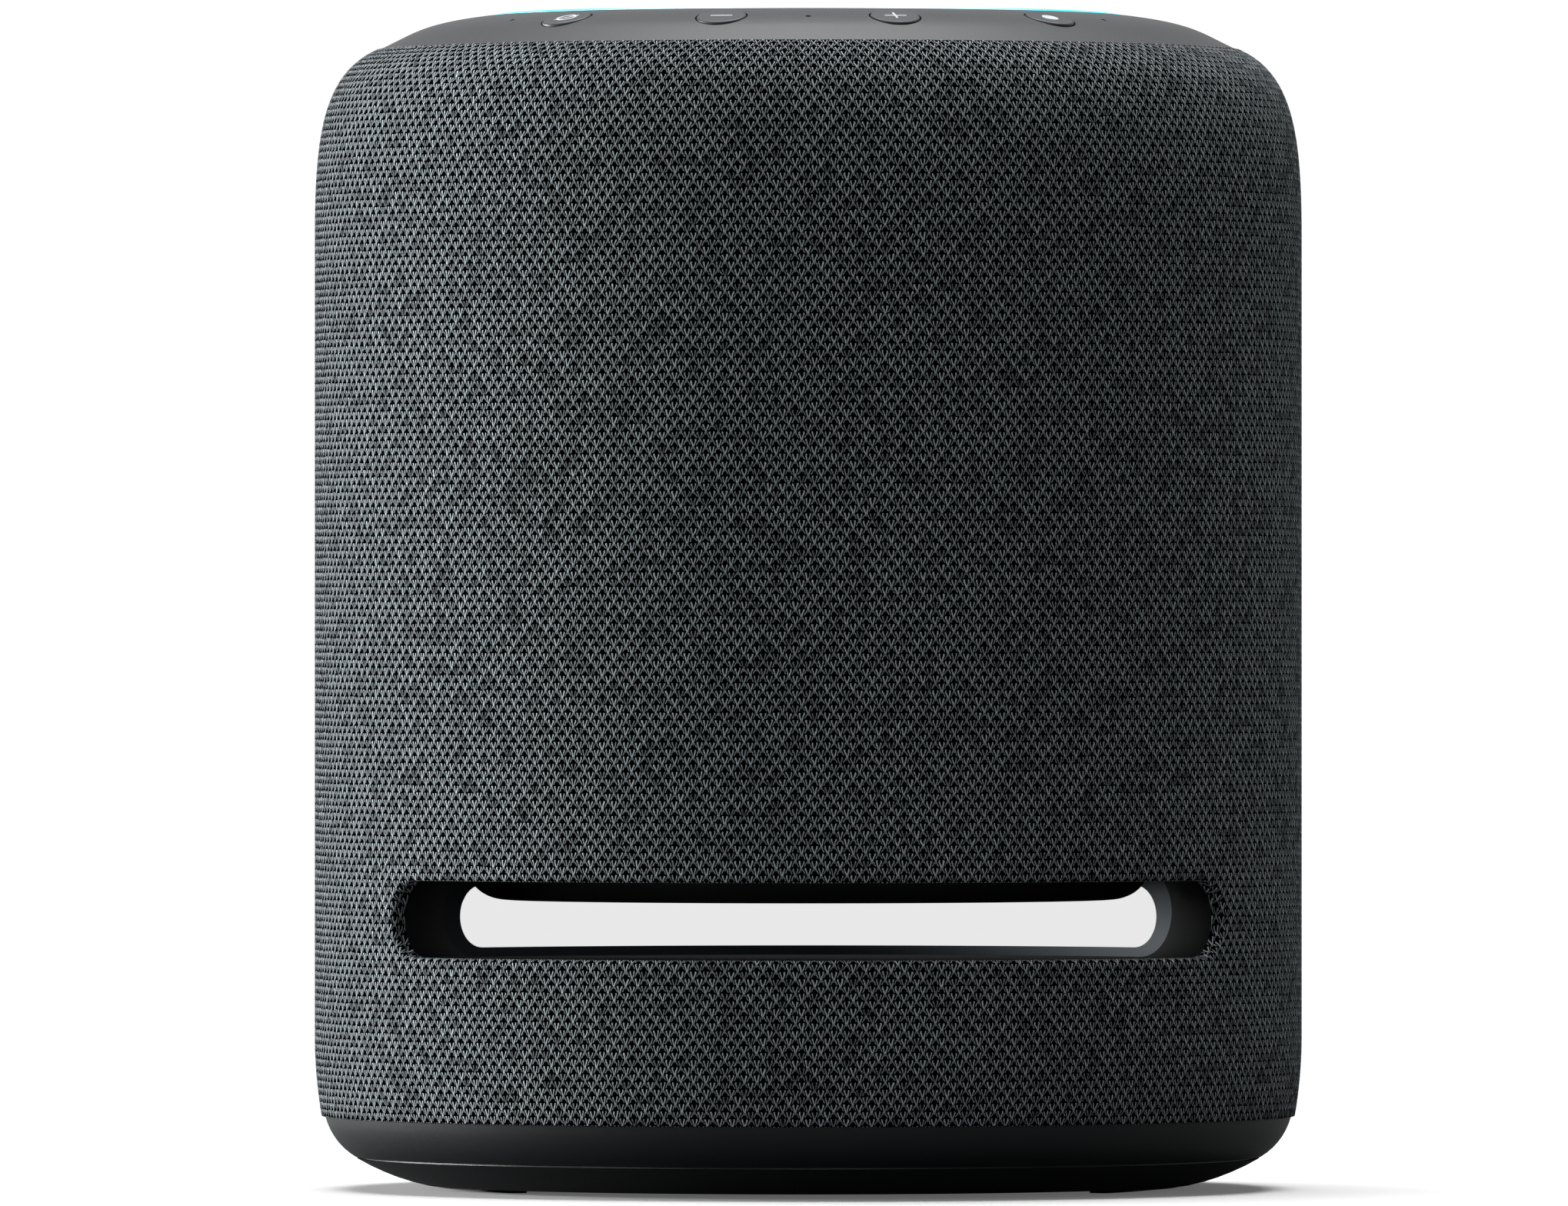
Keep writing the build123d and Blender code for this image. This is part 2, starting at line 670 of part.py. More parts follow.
with BuildPart() as mid_frames:
    for driver_seat in mid_seats.values():
        revolve(
            frame_section(driver_seat, mid_r, mid_open, mid_basket_r, mid_knee, mid_depth,
                          mid_groove_r + mid_hole_clear),
            axis=axis_of(driver_seat),
        )
        screw_holes(driver_seat, mid_screw_r, mid_screw_count, mid_screw_start, driver_hole_r,
                    flange_plate_t + 1)
save(mid_frames, "mid_frames")

with BuildPart() as mid_magnets:
    for driver_seat in mid_seats.values():
        tube(driver_seat, 0, mid_magnet_r, -mid_depth - mid_magnet_depth, -mid_depth)
        groove_r = mid_former_in_r - mid_gap
        groove_h = -mid_depth - mid_magnet_depth + mid_plate_t
        tube(driver_seat, groove_r, mid_groove_r, groove_h, -mid_depth + 1.0, mode=Mode.SUBTRACT)
save(mid_magnets, "mid_magnets")

for side, driver_seat in mid_seats.items():
    surround(driver_seat, mid_roll_r, mid_roll_half, mid_roll_rise, f"mid_{side}_surround")
    with BuildPart() as mid_cone:
        revolve(cone_section(driver_seat, mid_lip_r, mid_coil_r, mid_neck_depth), axis=axis_of(driver_seat))
        tube(driver_seat, mid_former_in_r, mid_coil_r + mid_coil_wall, mid_former_h, -mid_neck_depth)
        cap = dome_section(driver_seat, mid_coil_r + mid_cap_lap, -mid_neck_depth, mid_cap_rise, paper_t)
        revolve(cap, axis=axis_of(driver_seat))
    save(mid_cone, f"mid_{side}_cone")

# Tweeter: a soft dome behind the front slots.

tweeter_plate_t = 2.5
tweeter_magnet_r = 15.0
tweeter_magnet_depth = 12.0
dome_gap = 0.8
dome_t = 0.5
dome_former = 3.0
former_gap = 2.0  # left behind the dome's former
horn_w = 3.0  # bevel round the dome
horn_h = 1.2
pole_drop = 0.8

with BuildPart() as tweeter_plate:
    revolve(
        turned(
            tweeter_seat,
            (dome_r + dome_gap, -tweeter_plate_t),
            (tweeter_r, -tweeter_plate_t),
            (tweeter_r, 0),
            (dome_r + dome_gap + horn_w, 0),
            (dome_r + dome_gap, -horn_h),
        ),
        axis=axis_of(tweeter_seat),
    )
    screw_holes(tweeter_seat, tweeter_screw_r, tweeter_screw_count, tweeter_screw_start, driver_hole_r,
                tweeter_plate_t + 1)
save(tweeter_plate, "tweeter_plate")

with BuildPart() as tweeter_dome:
    silk = dome_section(tweeter_seat, dome_r, -tweeter_plate_t, dome_rise, dome_t)
    revolve(silk, axis=axis_of(tweeter_seat))
    tube(tweeter_seat, dome_r - dome_t, dome_r, -tweeter_plate_t - dome_former, -tweeter_plate_t)
save(tweeter_dome, "tweeter_dome")

with BuildPart() as tweeter_magnet:
    back_h = -tweeter_plate_t - tweeter_magnet_depth
    tube(tweeter_seat, 0, tweeter_magnet_r, back_h, -tweeter_plate_t)
    groove_h = -tweeter_plate_t - dome_former - former_gap
    tube(tweeter_seat, dome_r - dome_t - dome_gap, dome_r + dome_gap, groove_h, 0, mode=Mode.SUBTRACT)
    tube(tweeter_seat, 0, dome_r, -tweeter_plate_t - pole_drop, 0, mode=Mode.SUBTRACT)
save(tweeter_magnet, "tweeter_magnet")

# Screws of all the drivers. Those of the side drivers and the tweeter run outwards, into the seat
# rings, and the woofer's and the upward driver's run in from the front.

with BuildPart() as driver_screws:
    baffle_t = baffle_z1 - ceiling_z
    screws(woofer_seat, woofer_screw_r, woofer_screw_count, woofer_screw_start, woofer_head_r,
           woofer_shank_r, baffle_t)
    reach = flange_plate_t + driver_bite
    backs = [
        facing(seat.origin - seat.z_dir * flange_plate_t, -seat.z_dir)
        for seat in (mid_left_seat, mid_right_seat)
    ]
    for head_seat in (*backs, mid_top_seat):
        screws(head_seat, mid_screw_r, mid_screw_count, mid_screw_start, driver_head_r, driver_shank_r,
               reach)
    reach = tweeter_plate_t + driver_bite
    back = facing(tweeter_seat.origin - tweeter_seat.z_dir * tweeter_plate_t, -tweeter_seat.z_dir)
    screws(back, tweeter_screw_r, tweeter_screw_count, tweeter_screw_start, driver_head_r,
           driver_shank_r, reach)
save(driver_screws, "driver_screws")

# ---------------------------------------------------------------- top_deck
# Airtight deck over the acoustic chamber. It carries the upward driver and the top board's posts.

cable_hole = 45.0  # the top board's cable rises through the deck at this X and Y
cable_hole_r = 2.0
deck_hole_r = mid_open + sheet_t / 2 + 0.4
board_t = 1.6
board_z0 = deck_z1 + 4.2
board_z1 = board_z0 + board_t
board_r = flange_r - 2.4
board_in_r = light_ring_r - light_ring_w - 4.5
board_post_r = 3.0
board_post_circle = light_ring_r + 4.0
board_post_count = 5
board_post_start = -90.0
thread_r = 1.2

with BuildPart() as top_deck:
    with BuildSketch(Plane.XY.offset(deck_z0)):
        Circle(deck_r)
        Circle(deck_hole_r, mode=Mode.SUBTRACT)
    extrude(amount=deck_t)
    with BuildSketch(Plane.XY.offset(deck_z1)):
        with PolarLocations(board_post_circle, board_post_count, start_angle=board_post_start):
            Circle(board_post_r)
    extrude(amount=board_z0 - deck_z1)
    with BuildSketch(Plane.XY.offset(deck_z1)):
        with PolarLocations(board_post_circle, board_post_count, start_angle=board_post_start):
            Circle(thread_r)
    extrude(amount=board_z0 - deck_z1, mode=Mode.SUBTRACT)
    screw_holes(Plane.XY.offset(deck_z1), mid_screw_r, mid_screw_count, mid_screw_start,
                driver_shank_r, deck_t - 0.5)
    with Locations((cable_hole, cable_hole, deck_z0)):
        Cylinder(cable_hole_r, 2 * deck_t, mode=Mode.SUBTRACT)
save(top_deck, "top_deck")

# ---------------------------------------------------------------- top_ring
# Domed plastic band between the knit and the light ring, with holes for the buttons and the
# microphones, and snap hooks that catch under the tube's flange.

band_r = rim_r - 0.65  # band's outer edge, inside the knit's edge
band_edge_z = sleeve_z1 + 0.1
band_in_r = light_ring_r + 0.25
band_top_z = overall_h - 0.8
band_foot_w = 2.9
band_lean = 24.0  # degrees, the dome's slope at its rim
hook_count = 6
hook_t = 1.6
hook_w = 7.0
hook_l = 6.6
hook_drop = 1.4  # the hooks end this far below the tube's flange
barb_t = 2.0
barb_h = 1.2
barb_out = 0.9


def band_curve(drop):
    """Bezier points of the band's dome, lowered by the wall's thickness on the inside."""
    start = (band_r, band_edge_z)
    end = (band_in_r, band_top_z - drop)
    run = band_r - band_in_r
    lean = radians(band_lean)
    if drop:
        start = (band_r - band_foot_w, band_z0 + 0.2)
        run = start[0] - end[0]
    first = (start[0] - run * 0.31 * cos(lean), start[1] + run * 0.31 * sin(lean))
    second = (end[0] + run * 0.65, end[1] - run * 0.07)
    return start, first, second, end


def band_section():
    """Half section of the band: domed skin with an upright foot at its rim."""
    outside = band_curve(0)
    inside = band_curve(band_t)
    with BuildSketch(Plane.XZ) as sketch:
        with BuildLine():
            Bezier(*outside)
            Line(outside[3], inside[3])
            Bezier(*inside)
            Polyline(inside[0], (inside[0][0], band_z0), (band_r, band_z0), outside[0])
        make_face()
    return sketch.sketch


def bezier_height(points, radius):
    """Height and slope, in degrees, of the band's dome at a radius, by halving the parameter."""
    low, high = 0.0, 1.0
    for _ in range(40):
        t = (low + high) / 2
        weights = ((1 - t) ** 3, 3 * (1 - t) ** 2 * t, 3 * (1 - t) * t**2, t**3)
        at_r = sum(w * p[0] for w, p in zip(weights, points))
        if at_r > radius:
            low = t
        else:
            high = t
    height = sum(w * p[1] for w, p in zip(weights, points))
    rates = (-3 * (1 - t) ** 2, 3 * (1 - t) ** 2 - 6 * (1 - t) * t, 6 * (1 - t) * t - 3 * t**2, 3 * t**2)
    rise = sum(w * p[1] for w, p in zip(rates, points))
    run = sum(w * p[0] for w, p in zip(rates, points))
    return height, degrees(atan2(rise, -run))


button_circle_r = (band_r + band_in_r) / 2
button_z, button_tilt = bezier_height(band_curve(0), button_circle_r)


def band_seat(azimuth, radius=button_circle_r):
    """Seat on the band's dome; azimuth in degrees from the front, positive to the right."""
    height, tilt = bezier_height(band_curve(0), radius)
    turn = radians(azimuth - 90.0)
    outward = Vector(cos(turn), sin(turn), 0)
    normal = outward * sin(radians(tilt)) + Vector(0, 0, 1) * cos(radians(tilt))
    along = Vector(-sin(turn), cos(turn), 0)
    return Plane(outward * radius + Vector(0, 0, height), x_dir=along, z_dir=normal)


button_names = ("mute_button", "volume_down_button", "volume_up_button", "action_button")
button_seats = [band_seat((place - 1.5) * button_spacing) for place in range(4)]
mic_seats = [band_seat(place * 360.0 / mic_count) for place in range(mic_count)]
hook_r = flange_r - 1.0

with BuildPart() as top_ring:
    revolve(band_section(), axis=Axis.Z)
    with Locations((0, 0, flange_z1 - flange_t - hook_drop)):
        with PolarLocations(hook_r, hook_count, start_angle=90):
            Box(hook_t, hook_w, hook_l, align=(Align.CENTER, Align.CENTER, Align.MIN))
        with PolarLocations(hook_r + barb_out, hook_count, start_angle=90):
            Box(barb_t, hook_w, barb_h, align=(Align.CENTER, Align.CENTER, Align.MIN))
    for button_seat in button_seats:
        with Locations(button_seat):
            Cylinder(button_r + button_gap, 4 * band_t, mode=Mode.SUBTRACT)
    for mic_seat in mic_seats:
        with Locations(mic_seat):
            Cylinder(mic_hole_r, 4 * band_t, mode=Mode.SUBTRACT)
save(top_ring, "top_ring")

# ---------------------------------------------------------------- buttons
# Each button is a cap with a retaining rim under the band and a stem over its switch.

cap_proud = 0.15
cap_round = 0.35
rim_w = 0.85
rim_t = 0.8
rim_h = -band_t - button_travel  # the rim rests under the band and drops clear of it when pressed
stem_r = 1.2
switch_h = 1.7
switch_w = 4.5
plunger_r = 1.3
plunger_h = 0.5
stem_gap = 0.45
stem_lift = switch_h + button_travel + stem_gap
switch_drop = button_z - board_z1
stem_h = -(switch_drop - stem_lift) / cos(radians(button_tilt))

for name, button_seat in zip(button_names, button_seats):
    with BuildPart() as button:
        with Locations(button_seat):
            with Locations((0, 0, cap_proud)):
                Cylinder(button_r, cap_proud - rim_h, align=(Align.CENTER, Align.CENTER, Align.MAX))
        top_edge = button.faces().sort_by(Axis(button_seat.origin, button_seat.z_dir))[-1].edges()
        fillet(top_edge, radius=cap_round)
        with Locations(button_seat):
            with Locations((0, 0, rim_h)):
                Cylinder(button_r + rim_w, rim_t, align=(Align.CENTER, Align.CENTER, Align.MAX))
            with Locations((0, 0, stem_h)):
                Cylinder(stem_r, rim_h - stem_h, align=(Align.CENTER, Align.CENTER, Align.MIN))
    save(button, name)

# ---------------------------------------------------------------- top board and what is on it

with BuildPart() as ring_board:
    with BuildSketch(Plane.XY.offset(board_z0)):
        Circle(board_r)
        Circle(board_in_r, mode=Mode.SUBTRACT)
        with PolarLocations(board_post_circle, board_post_count, start_angle=board_post_start):
            Circle(thread_r, mode=Mode.SUBTRACT)
    extrude(amount=board_t)
save(ring_board, "ring_board")

with BuildPart() as tact_switches:
    for button_seat in button_seats:
        tip = button_seat.origin + button_seat.z_dir * stem_h
        with Locations((tip.X, tip.Y, board_z1)):
            Box(switch_w, switch_w, switch_h - plunger_h, align=(Align.CENTER, Align.CENTER, Align.MIN))
            Cylinder(plunger_r, switch_h, align=(Align.CENTER, Align.CENTER, Align.MIN))
save(tact_switches, "tact_switches")

led_count = 24
led_w = 2.0
led_l = 3.5
led_h = 1.1
led_r = light_ring_r - light_ring_w / 2

with BuildPart() as ring_leds:
    with Locations((0, 0, board_z1)):
        with PolarLocations(led_r, led_count):
            Box(led_w, led_l, led_h, align=(Align.CENTER, Align.CENTER, Align.MIN))
save(ring_leds, "ring_leds")

mic_can_l = 3.6
mic_can_w = 2.8
mic_can_h = 1.0
seal_r = 1.9
seal_gap = 0.45  # between the band and a seal, square to the band
seal_slope = 0.75  # the seal's flat top stays this far below the band's slope

with BuildPart() as microphones:
    for mic_seat in mic_seats:
        with Locations(Plane((mic_seat.origin.X, mic_seat.origin.Y, board_z1), x_dir=mic_seat.x_dir)):
            Box(mic_can_l, mic_can_w, mic_can_h, align=(Align.CENTER, Align.CENTER, Align.MIN))
save(microphones, "microphones")

with BuildPart() as mic_seals:
    for mic_seat in mic_seats:
        inner_face = mic_seat.origin - mic_seat.z_dir * (band_t + seal_gap)
        seal_h = inner_face.Z - seal_slope - board_z1 - mic_can_h
        with Locations((inner_face.X, inner_face.Y, board_z1 + mic_can_h)):
            Cylinder(seal_r, seal_h, align=(Align.CENTER, Align.CENTER, Align.MIN))
            Cylinder(mic_hole_r, seal_h, align=(Align.CENTER, Align.CENTER, Align.MIN), mode=Mode.SUBTRACT)
save(mic_seals, "mic_seals")

# ---------------------------------------------------------------- light_ring, top_grille, top_knit

ring_in_r = light_ring_r - light_ring_w
ring_lip = 1.3  # step that sits under the band's inner edge
ring_lip_z = band_top_z - band_t - 0.2
ring_lip_t = 1.8
ring_edge_z = band_top_z + 0.05
ring_crown_z = band_top_z + 0.35
ring_in_z = band_top_z + 0.4
ring_foot_z = board_z1 + led_h + 0.15
skirt_t = 1.6
grille_t = 1.6
grille_gap = 0.1
cloth_t = 0.75
cloth_rise = 0.35  # the cloth's doming
grille_z1 = overall_h - cloth_t - 0.15
grille_hole_r = 2.1
grille_hole_pitch = 6.4

with BuildPart() as light_ring:
    with BuildSketch(Plane.XZ):
        with BuildLine():
            ThreePointArc(
                (light_ring_r, ring_edge_z),
                (light_ring_r - light_ring_w / 2, ring_crown_z),
                (ring_in_r, ring_in_z),
            )
            Polyline(
                (ring_in_r, ring_in_z),
                (ring_in_r, ring_foot_z),
                (light_ring_r, ring_foot_z),
                (light_ring_r, ring_lip_z - ring_lip_t),
                (light_ring_r + ring_lip, ring_lip_z - ring_lip_t),
                (light_ring_r + ring_lip, ring_lip_z),
                (light_ring_r, ring_lip_z),
                (light_ring_r, ring_edge_z),
            )
        make_face()
    revolve(axis=Axis.Z)
save(light_ring, "light_ring")

with BuildPart() as top_grille:
    tube(Plane.XY, 0, ring_in_r - grille_gap, grille_z1 - grille_t, grille_z1)
    tube(Plane.XY, ring_in_r - grille_gap - skirt_t, ring_in_r - grille_gap, board_z1,
         grille_z1 - grille_t)
    with BuildSketch(Plane.XY.offset(grille_z1)):
        rows = int((ring_in_r - 6.0) / grille_hole_pitch)
        for row in range(1, rows + 1):
            with PolarLocations(row * grille_hole_pitch, 6 * row):
                Circle(grille_hole_r)
        Circle(grille_hole_r)
    extrude(amount=-grille_t, mode=Mode.SUBTRACT)
save(top_grille, "top_grille")

cloth_r = ring_in_r - grille_gap
cloth_edge_z = overall_h - cloth_rise

with BuildPart() as top_knit:
    with BuildSketch(Plane.XZ):
        with BuildLine():
            Polyline(
                (0, overall_h),
                (0, grille_z1 + lay_gap),
                (cloth_r, grille_z1 + lay_gap),
                (cloth_r, cloth_edge_z),
            )
            ThreePointArc(
                (cloth_r, cloth_edge_z),
                (cloth_r / 2, cloth_edge_z + dome_half(cloth_r, cloth_rise)),
                (0, overall_h),
            )
        make_face()
    revolve(axis=Axis.Z)
save(top_knit, "top_knit")

# ---------------------------------------------------------------- base_shell
# Plastic bowl under the knit, with a collar that stands up inside the tube.

base_rim_r = body_r - taper_in - 0.6
base_rim_z = sleeve_z0 - lay_gap
seam_z = 5.75
seam_in = 5.25  # the bowl draws in this far down to the seam
collar_r = body_r - taper_in - shell_in - lay_gap
collar_h = 4.0
collar_t = 2.0
seam_ledge = 3.0  # width of the bowl's lower edge

with BuildPart() as base_shell:
    with BuildSketch(Plane.XZ):
        with BuildLine():
            ThreePointArc(
                (base_rim_r, base_rim_z),
                (base_rim_r - seam_in * 0.35, (base_rim_z + seam_z) / 2 - 0.4),
                (base_rim_r - seam_in, seam_z),
            )
            Polyline(
                (base_rim_r - seam_in, seam_z),
                (base_rim_r - seam_in - seam_ledge, seam_z),
                (collar_r - collar_t, base_rim_z - wall),
                (collar_r - collar_t, base_rim_z + collar_h),
                (collar_r, base_rim_z + collar_h),
                (collar_r, base_rim_z),
                (base_rim_r, base_rim_z),
            )
        make_face()
    revolve(axis=Axis.Z)
save(base_shell, "base_shell")

# ---------------------------------------------------------------- base_pan
# Bottom cover below the seam: a dished pan with a spigot, standoffs for the boards, recesses for
# the rubber feet and counterbores for the long screws.

reveal = 0.3  # open groove that shows as the seam
pan_flat_r = base_rim_r - 17.6
pan_edge_r = base_rim_r - seam_in - 0.35
foot_r = pan_flat_r - 2.2
foot_in_r = foot_r - 9.0
foot_arc = 61.0  # degrees
foot_seat = 0.8  # depth of the recess
pan_rim_gap = 0.2
pan_rim_t = 1.4
pan_rim_out_r = base_rim_r - seam_in - seam_ledge - pan_rim_gap  # stands inside the bowl's edge
pan_rim_in_r = pan_rim_out_r - pan_rim_t
pan_rim_rise = 1.6
pan_rim_sink = 0.9
reveal_w = 1.2
counterbore_r = 3.2
counterbore_h = 1.2
base_head_r = 2.8
base_shank_r = 1.35
base_screw_l = 18.0
power_z = 9.0
main_z = panel_z - 6.6
power_posts = ((-20.0, -48.0), (-58.0, 0.0), (-24.0, 50.0))
main_posts = ((20.0, -48.0), (58.0, 0.0), (26.0, 44.0))
post_w_r = 3.2


def foot_sector(side, r_in, r_out, z0, z1, margin):
    """Arc-shaped block on one side of the base, to be revolved through the foot's own angle."""
    half = foot_arc / 2 + degrees(margin / foot_r)
    start = radians((0.0 if side > 0 else 180.0) - half)
    seat = Plane((0, 0, 0), x_dir=(cos(start), sin(start), 0), z_dir=(0, 0, 1))
    return tube_section(seat, r_in, r_out, z0, z1), 2 * half


with BuildPart() as base_pan:
    with BuildSketch(Plane.XZ):
        with BuildLine():
            ThreePointArc(
                (pan_flat_r, pan_z),
                ((pan_flat_r + pan_edge_r) / 2 + 0.45, pan_z + 1.95),
                (pan_edge_r, seam_z - reveal),
            )
            Polyline(
                (pan_edge_r, seam_z - reveal),
                (pan_edge_r - reveal_w, seam_z - reveal),
                (pan_edge_r - reveal_w, seam_z),
                (pan_rim_out_r, seam_z),
                (pan_rim_out_r, seam_z + pan_rim_rise),
                (pan_rim_in_r, seam_z + pan_rim_rise),
                (pan_rim_in_r, seam_z - pan_rim_sink),
            )
            Polyline(
                (pan_rim_in_r, seam_z - pan_rim_sink),
                (pan_flat_r, pan_z + pan_t),
                (0, pan_z + pan_t),
                (0, pan_z),
                (pan_flat_r, pan_z),
            )
        make_face()
    revolve(axis=Axis.Z)
    for posts, height in ((power_posts, power_z), (main_posts, main_z)):
        with BuildSketch(Plane.XY.offset(pan_z + pan_t)):
            with Locations(*posts):
                Circle(post_w_r)
        extrude(amount=height - pan_z - pan_t)
        with BuildSketch(Plane.XY.offset(pan_z + pan_t)):
            with Locations(*posts):
                Circle(thread_r)
        extrude(amount=height - pan_z - pan_t, mode=Mode.SUBTRACT)
    with BuildSketch(Plane.XY.offset(pan_z)):
        with PolarLocations(post_circle_r, post_count, start_angle=post_start):
            Circle(post_screw_r)
    extrude(amount=pan_t, mode=Mode.SUBTRACT)
    with BuildSketch(Plane.XY.offset(pan_z)):
        with PolarLocations(post_circle_r, post_count, start_angle=post_start):
            Circle(counterbore_r)
    extrude(amount=counterbore_h, mode=Mode.SUBTRACT)
    recess_r = foot_r + lay_gap
    for side in (-1, 1):
        recess, arc = foot_sector(side, foot_in_r - lay_gap, recess_r, pan_z - 1, pan_z + foot_seat, lay_gap)
        revolve(recess, axis=Axis.Z, revolution_arc=arc, mode=Mode.SUBTRACT)
save(base_pan, "base_pan")

# ---------------------------------------------------------------- foot_pads
# Two arcs of rubber glued into the pan's recesses, with a shallow chamfer along the outer edge.

foot_round = 2.0
foot_slope_w = 5.0
foot_slope_h = 0.45

with BuildPart() as foot_pads:
    for side in (-1, 1):
        block, arc = foot_sector(side, foot_in_r, foot_r, 0, pan_z + foot_seat, 0)
        revolve(block, axis=Axis.Z, revolution_arc=arc)
    fillet(foot_pads.edges().filter_by(Axis.Z), radius=foot_round)
    slope = turned(
        Plane.XY,
        (foot_r - foot_slope_w, 0),
        (foot_r + 1, -0.1),
        (foot_r + 1, foot_slope_h * (foot_slope_w + 1) / foot_slope_w),
    )
    revolve(slope, axis=Axis.Z, mode=Mode.SUBTRACT)
save(foot_pads, "foot_pads")

with BuildPart() as base_screws:
    head_seat = facing((0, 0, pan_z + counterbore_h), (0, 0, -1))
    screws(head_seat, post_circle_r, post_count, post_start, base_head_r, base_shank_r, base_screw_l)
    with Locations((0, 0, pan_z - 1)):
        Box(body_r * 2, body_r * 2, 1.0, align=(Align.CENTER, Align.CENTER, Align.MIN), mode=Mode.SUBTRACT)
save(base_screws, "base_screws")

# ---------------------------------------------------------------- boards in the base

board_hole_r = 1.3
notch_r = post_r + 1.0
power_board_r = body_r - 13.0
main_board_r = body_r - 11.0
board_split = 2.5  # each board stops this far from the middle
board_head_r = 2.4
board_bite = 4.0
ring_head_r = 2.0
ring_head_h = 1.0
ring_shank_r = 1.0
ring_bite = 3.5
panel_t = 4.1
panel_flange_t = 1.8
panel_back_y = panel_y - panel_t
flange_back_y = panel_back_y - panel_flange_t
board_back_gap = 0.6


def half_board(side, radius, height, posts):
    """D-shaped circuit board on one side of the base, notched round the long screws' posts."""
    with BuildSketch(Plane.XY.offset(height)) as sketch:
        Circle(radius)
        with Locations((-side * (radius - board_split), 0)):
            Rectangle(2 * radius, 2 * radius, mode=Mode.SUBTRACT)
        with Locations((0, flange_back_y - board_back_gap + radius)):
            Rectangle(2 * radius, 2 * radius, mode=Mode.SUBTRACT)
        with PolarLocations(post_circle_r, post_count, start_angle=post_start):
            Circle(notch_r, mode=Mode.SUBTRACT)
        with Locations(*posts):
            Circle(board_hole_r, mode=Mode.SUBTRACT)
    return sketch.sketch


with BuildPart() as power_board:
    extrude(half_board(-1, power_board_r, power_z, power_posts), amount=board_t)
save(power_board, "power_board")

with BuildPart() as main_board:
    extrude(half_board(1, main_board_r, main_z, main_posts), amount=board_t)
save(main_board, "main_board")

power_top = power_z + board_t
main_top = main_z + board_t

with BuildPart() as board_screws:
    for posts, height in ((power_posts, power_top), (main_posts, main_top)):
        with Locations(*[(x, y, height) for x, y in posts]):
            Cylinder(board_head_r, screw_head_h, align=(Align.CENTER, Align.CENTER, Align.MIN))
            Cylinder(thread_r - 0.1, board_t + board_bite, align=(Align.CENTER, Align.CENTER, Align.MAX))
    with Locations((0, 0, board_z1)):
        with PolarLocations(board_post_circle, board_post_count, start_angle=board_post_start):
            Cylinder(ring_head_r, ring_head_h, align=(Align.CENTER, Align.CENTER, Align.MIN))
            Cylinder(ring_shank_r, board_t + ring_bite, align=(Align.CENTER, Align.CENTER, Align.MAX))
save(board_screws, "board_screws")

core_x = -40.0
core_y = -14.0
core_l = 26.0
core_w = 30.0
core_h = 20.0
winding_out = 4.0  # the winding stands out of the core on two sides
winding_w = 18.0
winding_h = 14.0

with BuildPart() as power_transformer:
    with Locations((core_x, core_y, power_top)):
        Box(core_l, core_w, core_h, align=(Align.CENTER, Align.CENTER, Align.MIN))
    chamfer(power_transformer.edges().filter_by(Axis.Z), length=1.5)
    with Locations((core_x, core_y, power_top + core_h / 2)):
        Box(core_l + 2 * winding_out, winding_w, winding_h)
save(power_transformer, "power_transformer")

capacitor_r = 6.5
capacitor_h = 20.0
capacitor_places = ((-14.0, -24.0), (-14.0, -8.0), (-38.0, 22.0))

with BuildPart() as power_capacitors:
    with Locations(*[(x, y, power_top) for x, y in capacitor_places]):
        Cylinder(capacitor_r, capacitor_h, align=(Align.CENTER, Align.CENTER, Align.MIN))
    fillet(power_capacitors.edges().group_by(Axis.Z)[-1], radius=0.8)
save(power_capacitors, "power_capacitors")

can_l = 20.0
can_w = 24.0
can_h = 3.2
can_places = ((20.0, 20.0), (44.0, 20.0))

with BuildPart() as shield_cans:
    with Locations(*[(x, y, main_top) for x, y in can_places]):
        Box(can_l, can_w, can_h, align=(Align.CENTER, Align.CENTER, Align.MIN))
    fillet(shield_cans.edges().filter_by(Axis.Z), radius=1.0)
save(shield_cans, "shield_cans")

fin_count = 7
fin_pitch = 5.0
fin_t = 1.6
sink_w = 26.0
sink_t = 2.5
sink_gap = 1.2  # below the slot's floor
amp_chip_w = 12.0
amp_chip_h = 1.0
amp_centre = (34.0, -18.0)

with BuildPart() as amplifier_chip:
    with Locations((*amp_centre, main_top)):
        Box(amp_chip_w, amp_chip_w, amp_chip_h, align=(Align.CENTER, Align.CENTER, Align.MIN))
save(amplifier_chip, "amplifier_chip")

with BuildPart() as heat_sink:
    sink_l = (fin_count - 1) * fin_pitch + fin_t
    fin_h = floor_z - plate_t - main_top - amp_chip_h - sink_t - sink_gap
    with Locations((*amp_centre, main_top + amp_chip_h)):
        Box(sink_l, sink_w, sink_t, align=(Align.CENTER, Align.CENTER, Align.MIN))
    with Locations((*amp_centre, main_top + amp_chip_h + sink_t)):
        with GridLocations(fin_pitch, 0, fin_count, 1):
            Box(fin_t, sink_w, fin_h, align=(Align.CENTER, Align.CENTER, Align.MIN))
save(heat_sink, "heat_sink")

# ---------------------------------------------------------------- sockets at the back of the base
# A recessed panel carries the mains inlet with its two pins, a 3.5 mm jack and a small data socket.

bezel_w = 1.6
inlet_x = -14.0
jack_x = 9.0
usb_x = 21.0
inlet_w = 16.6
inlet_h = 9.8
inlet_wall = 1.0
inlet_depth = 12.5
pin_r = 1.2
pin_space = 8.6
pin_sunk = 3.0  # pin ends below the inlet's mouth
jack_r = 1.8
jack_nose_r = 3.0
jack_l = 14.0
usb_w = 7.6
usb_h = 2.9
mouth_y = panel_y - 0.1
socket_gap = 0.15


def back_sketch(y, x):
    """Plane on the back, at a depth and off to one side, that looks out at +Y."""
    return Plane((x, y, panel_z), x_dir=(-1, 0, 0), z_dir=(0, 1, 0))


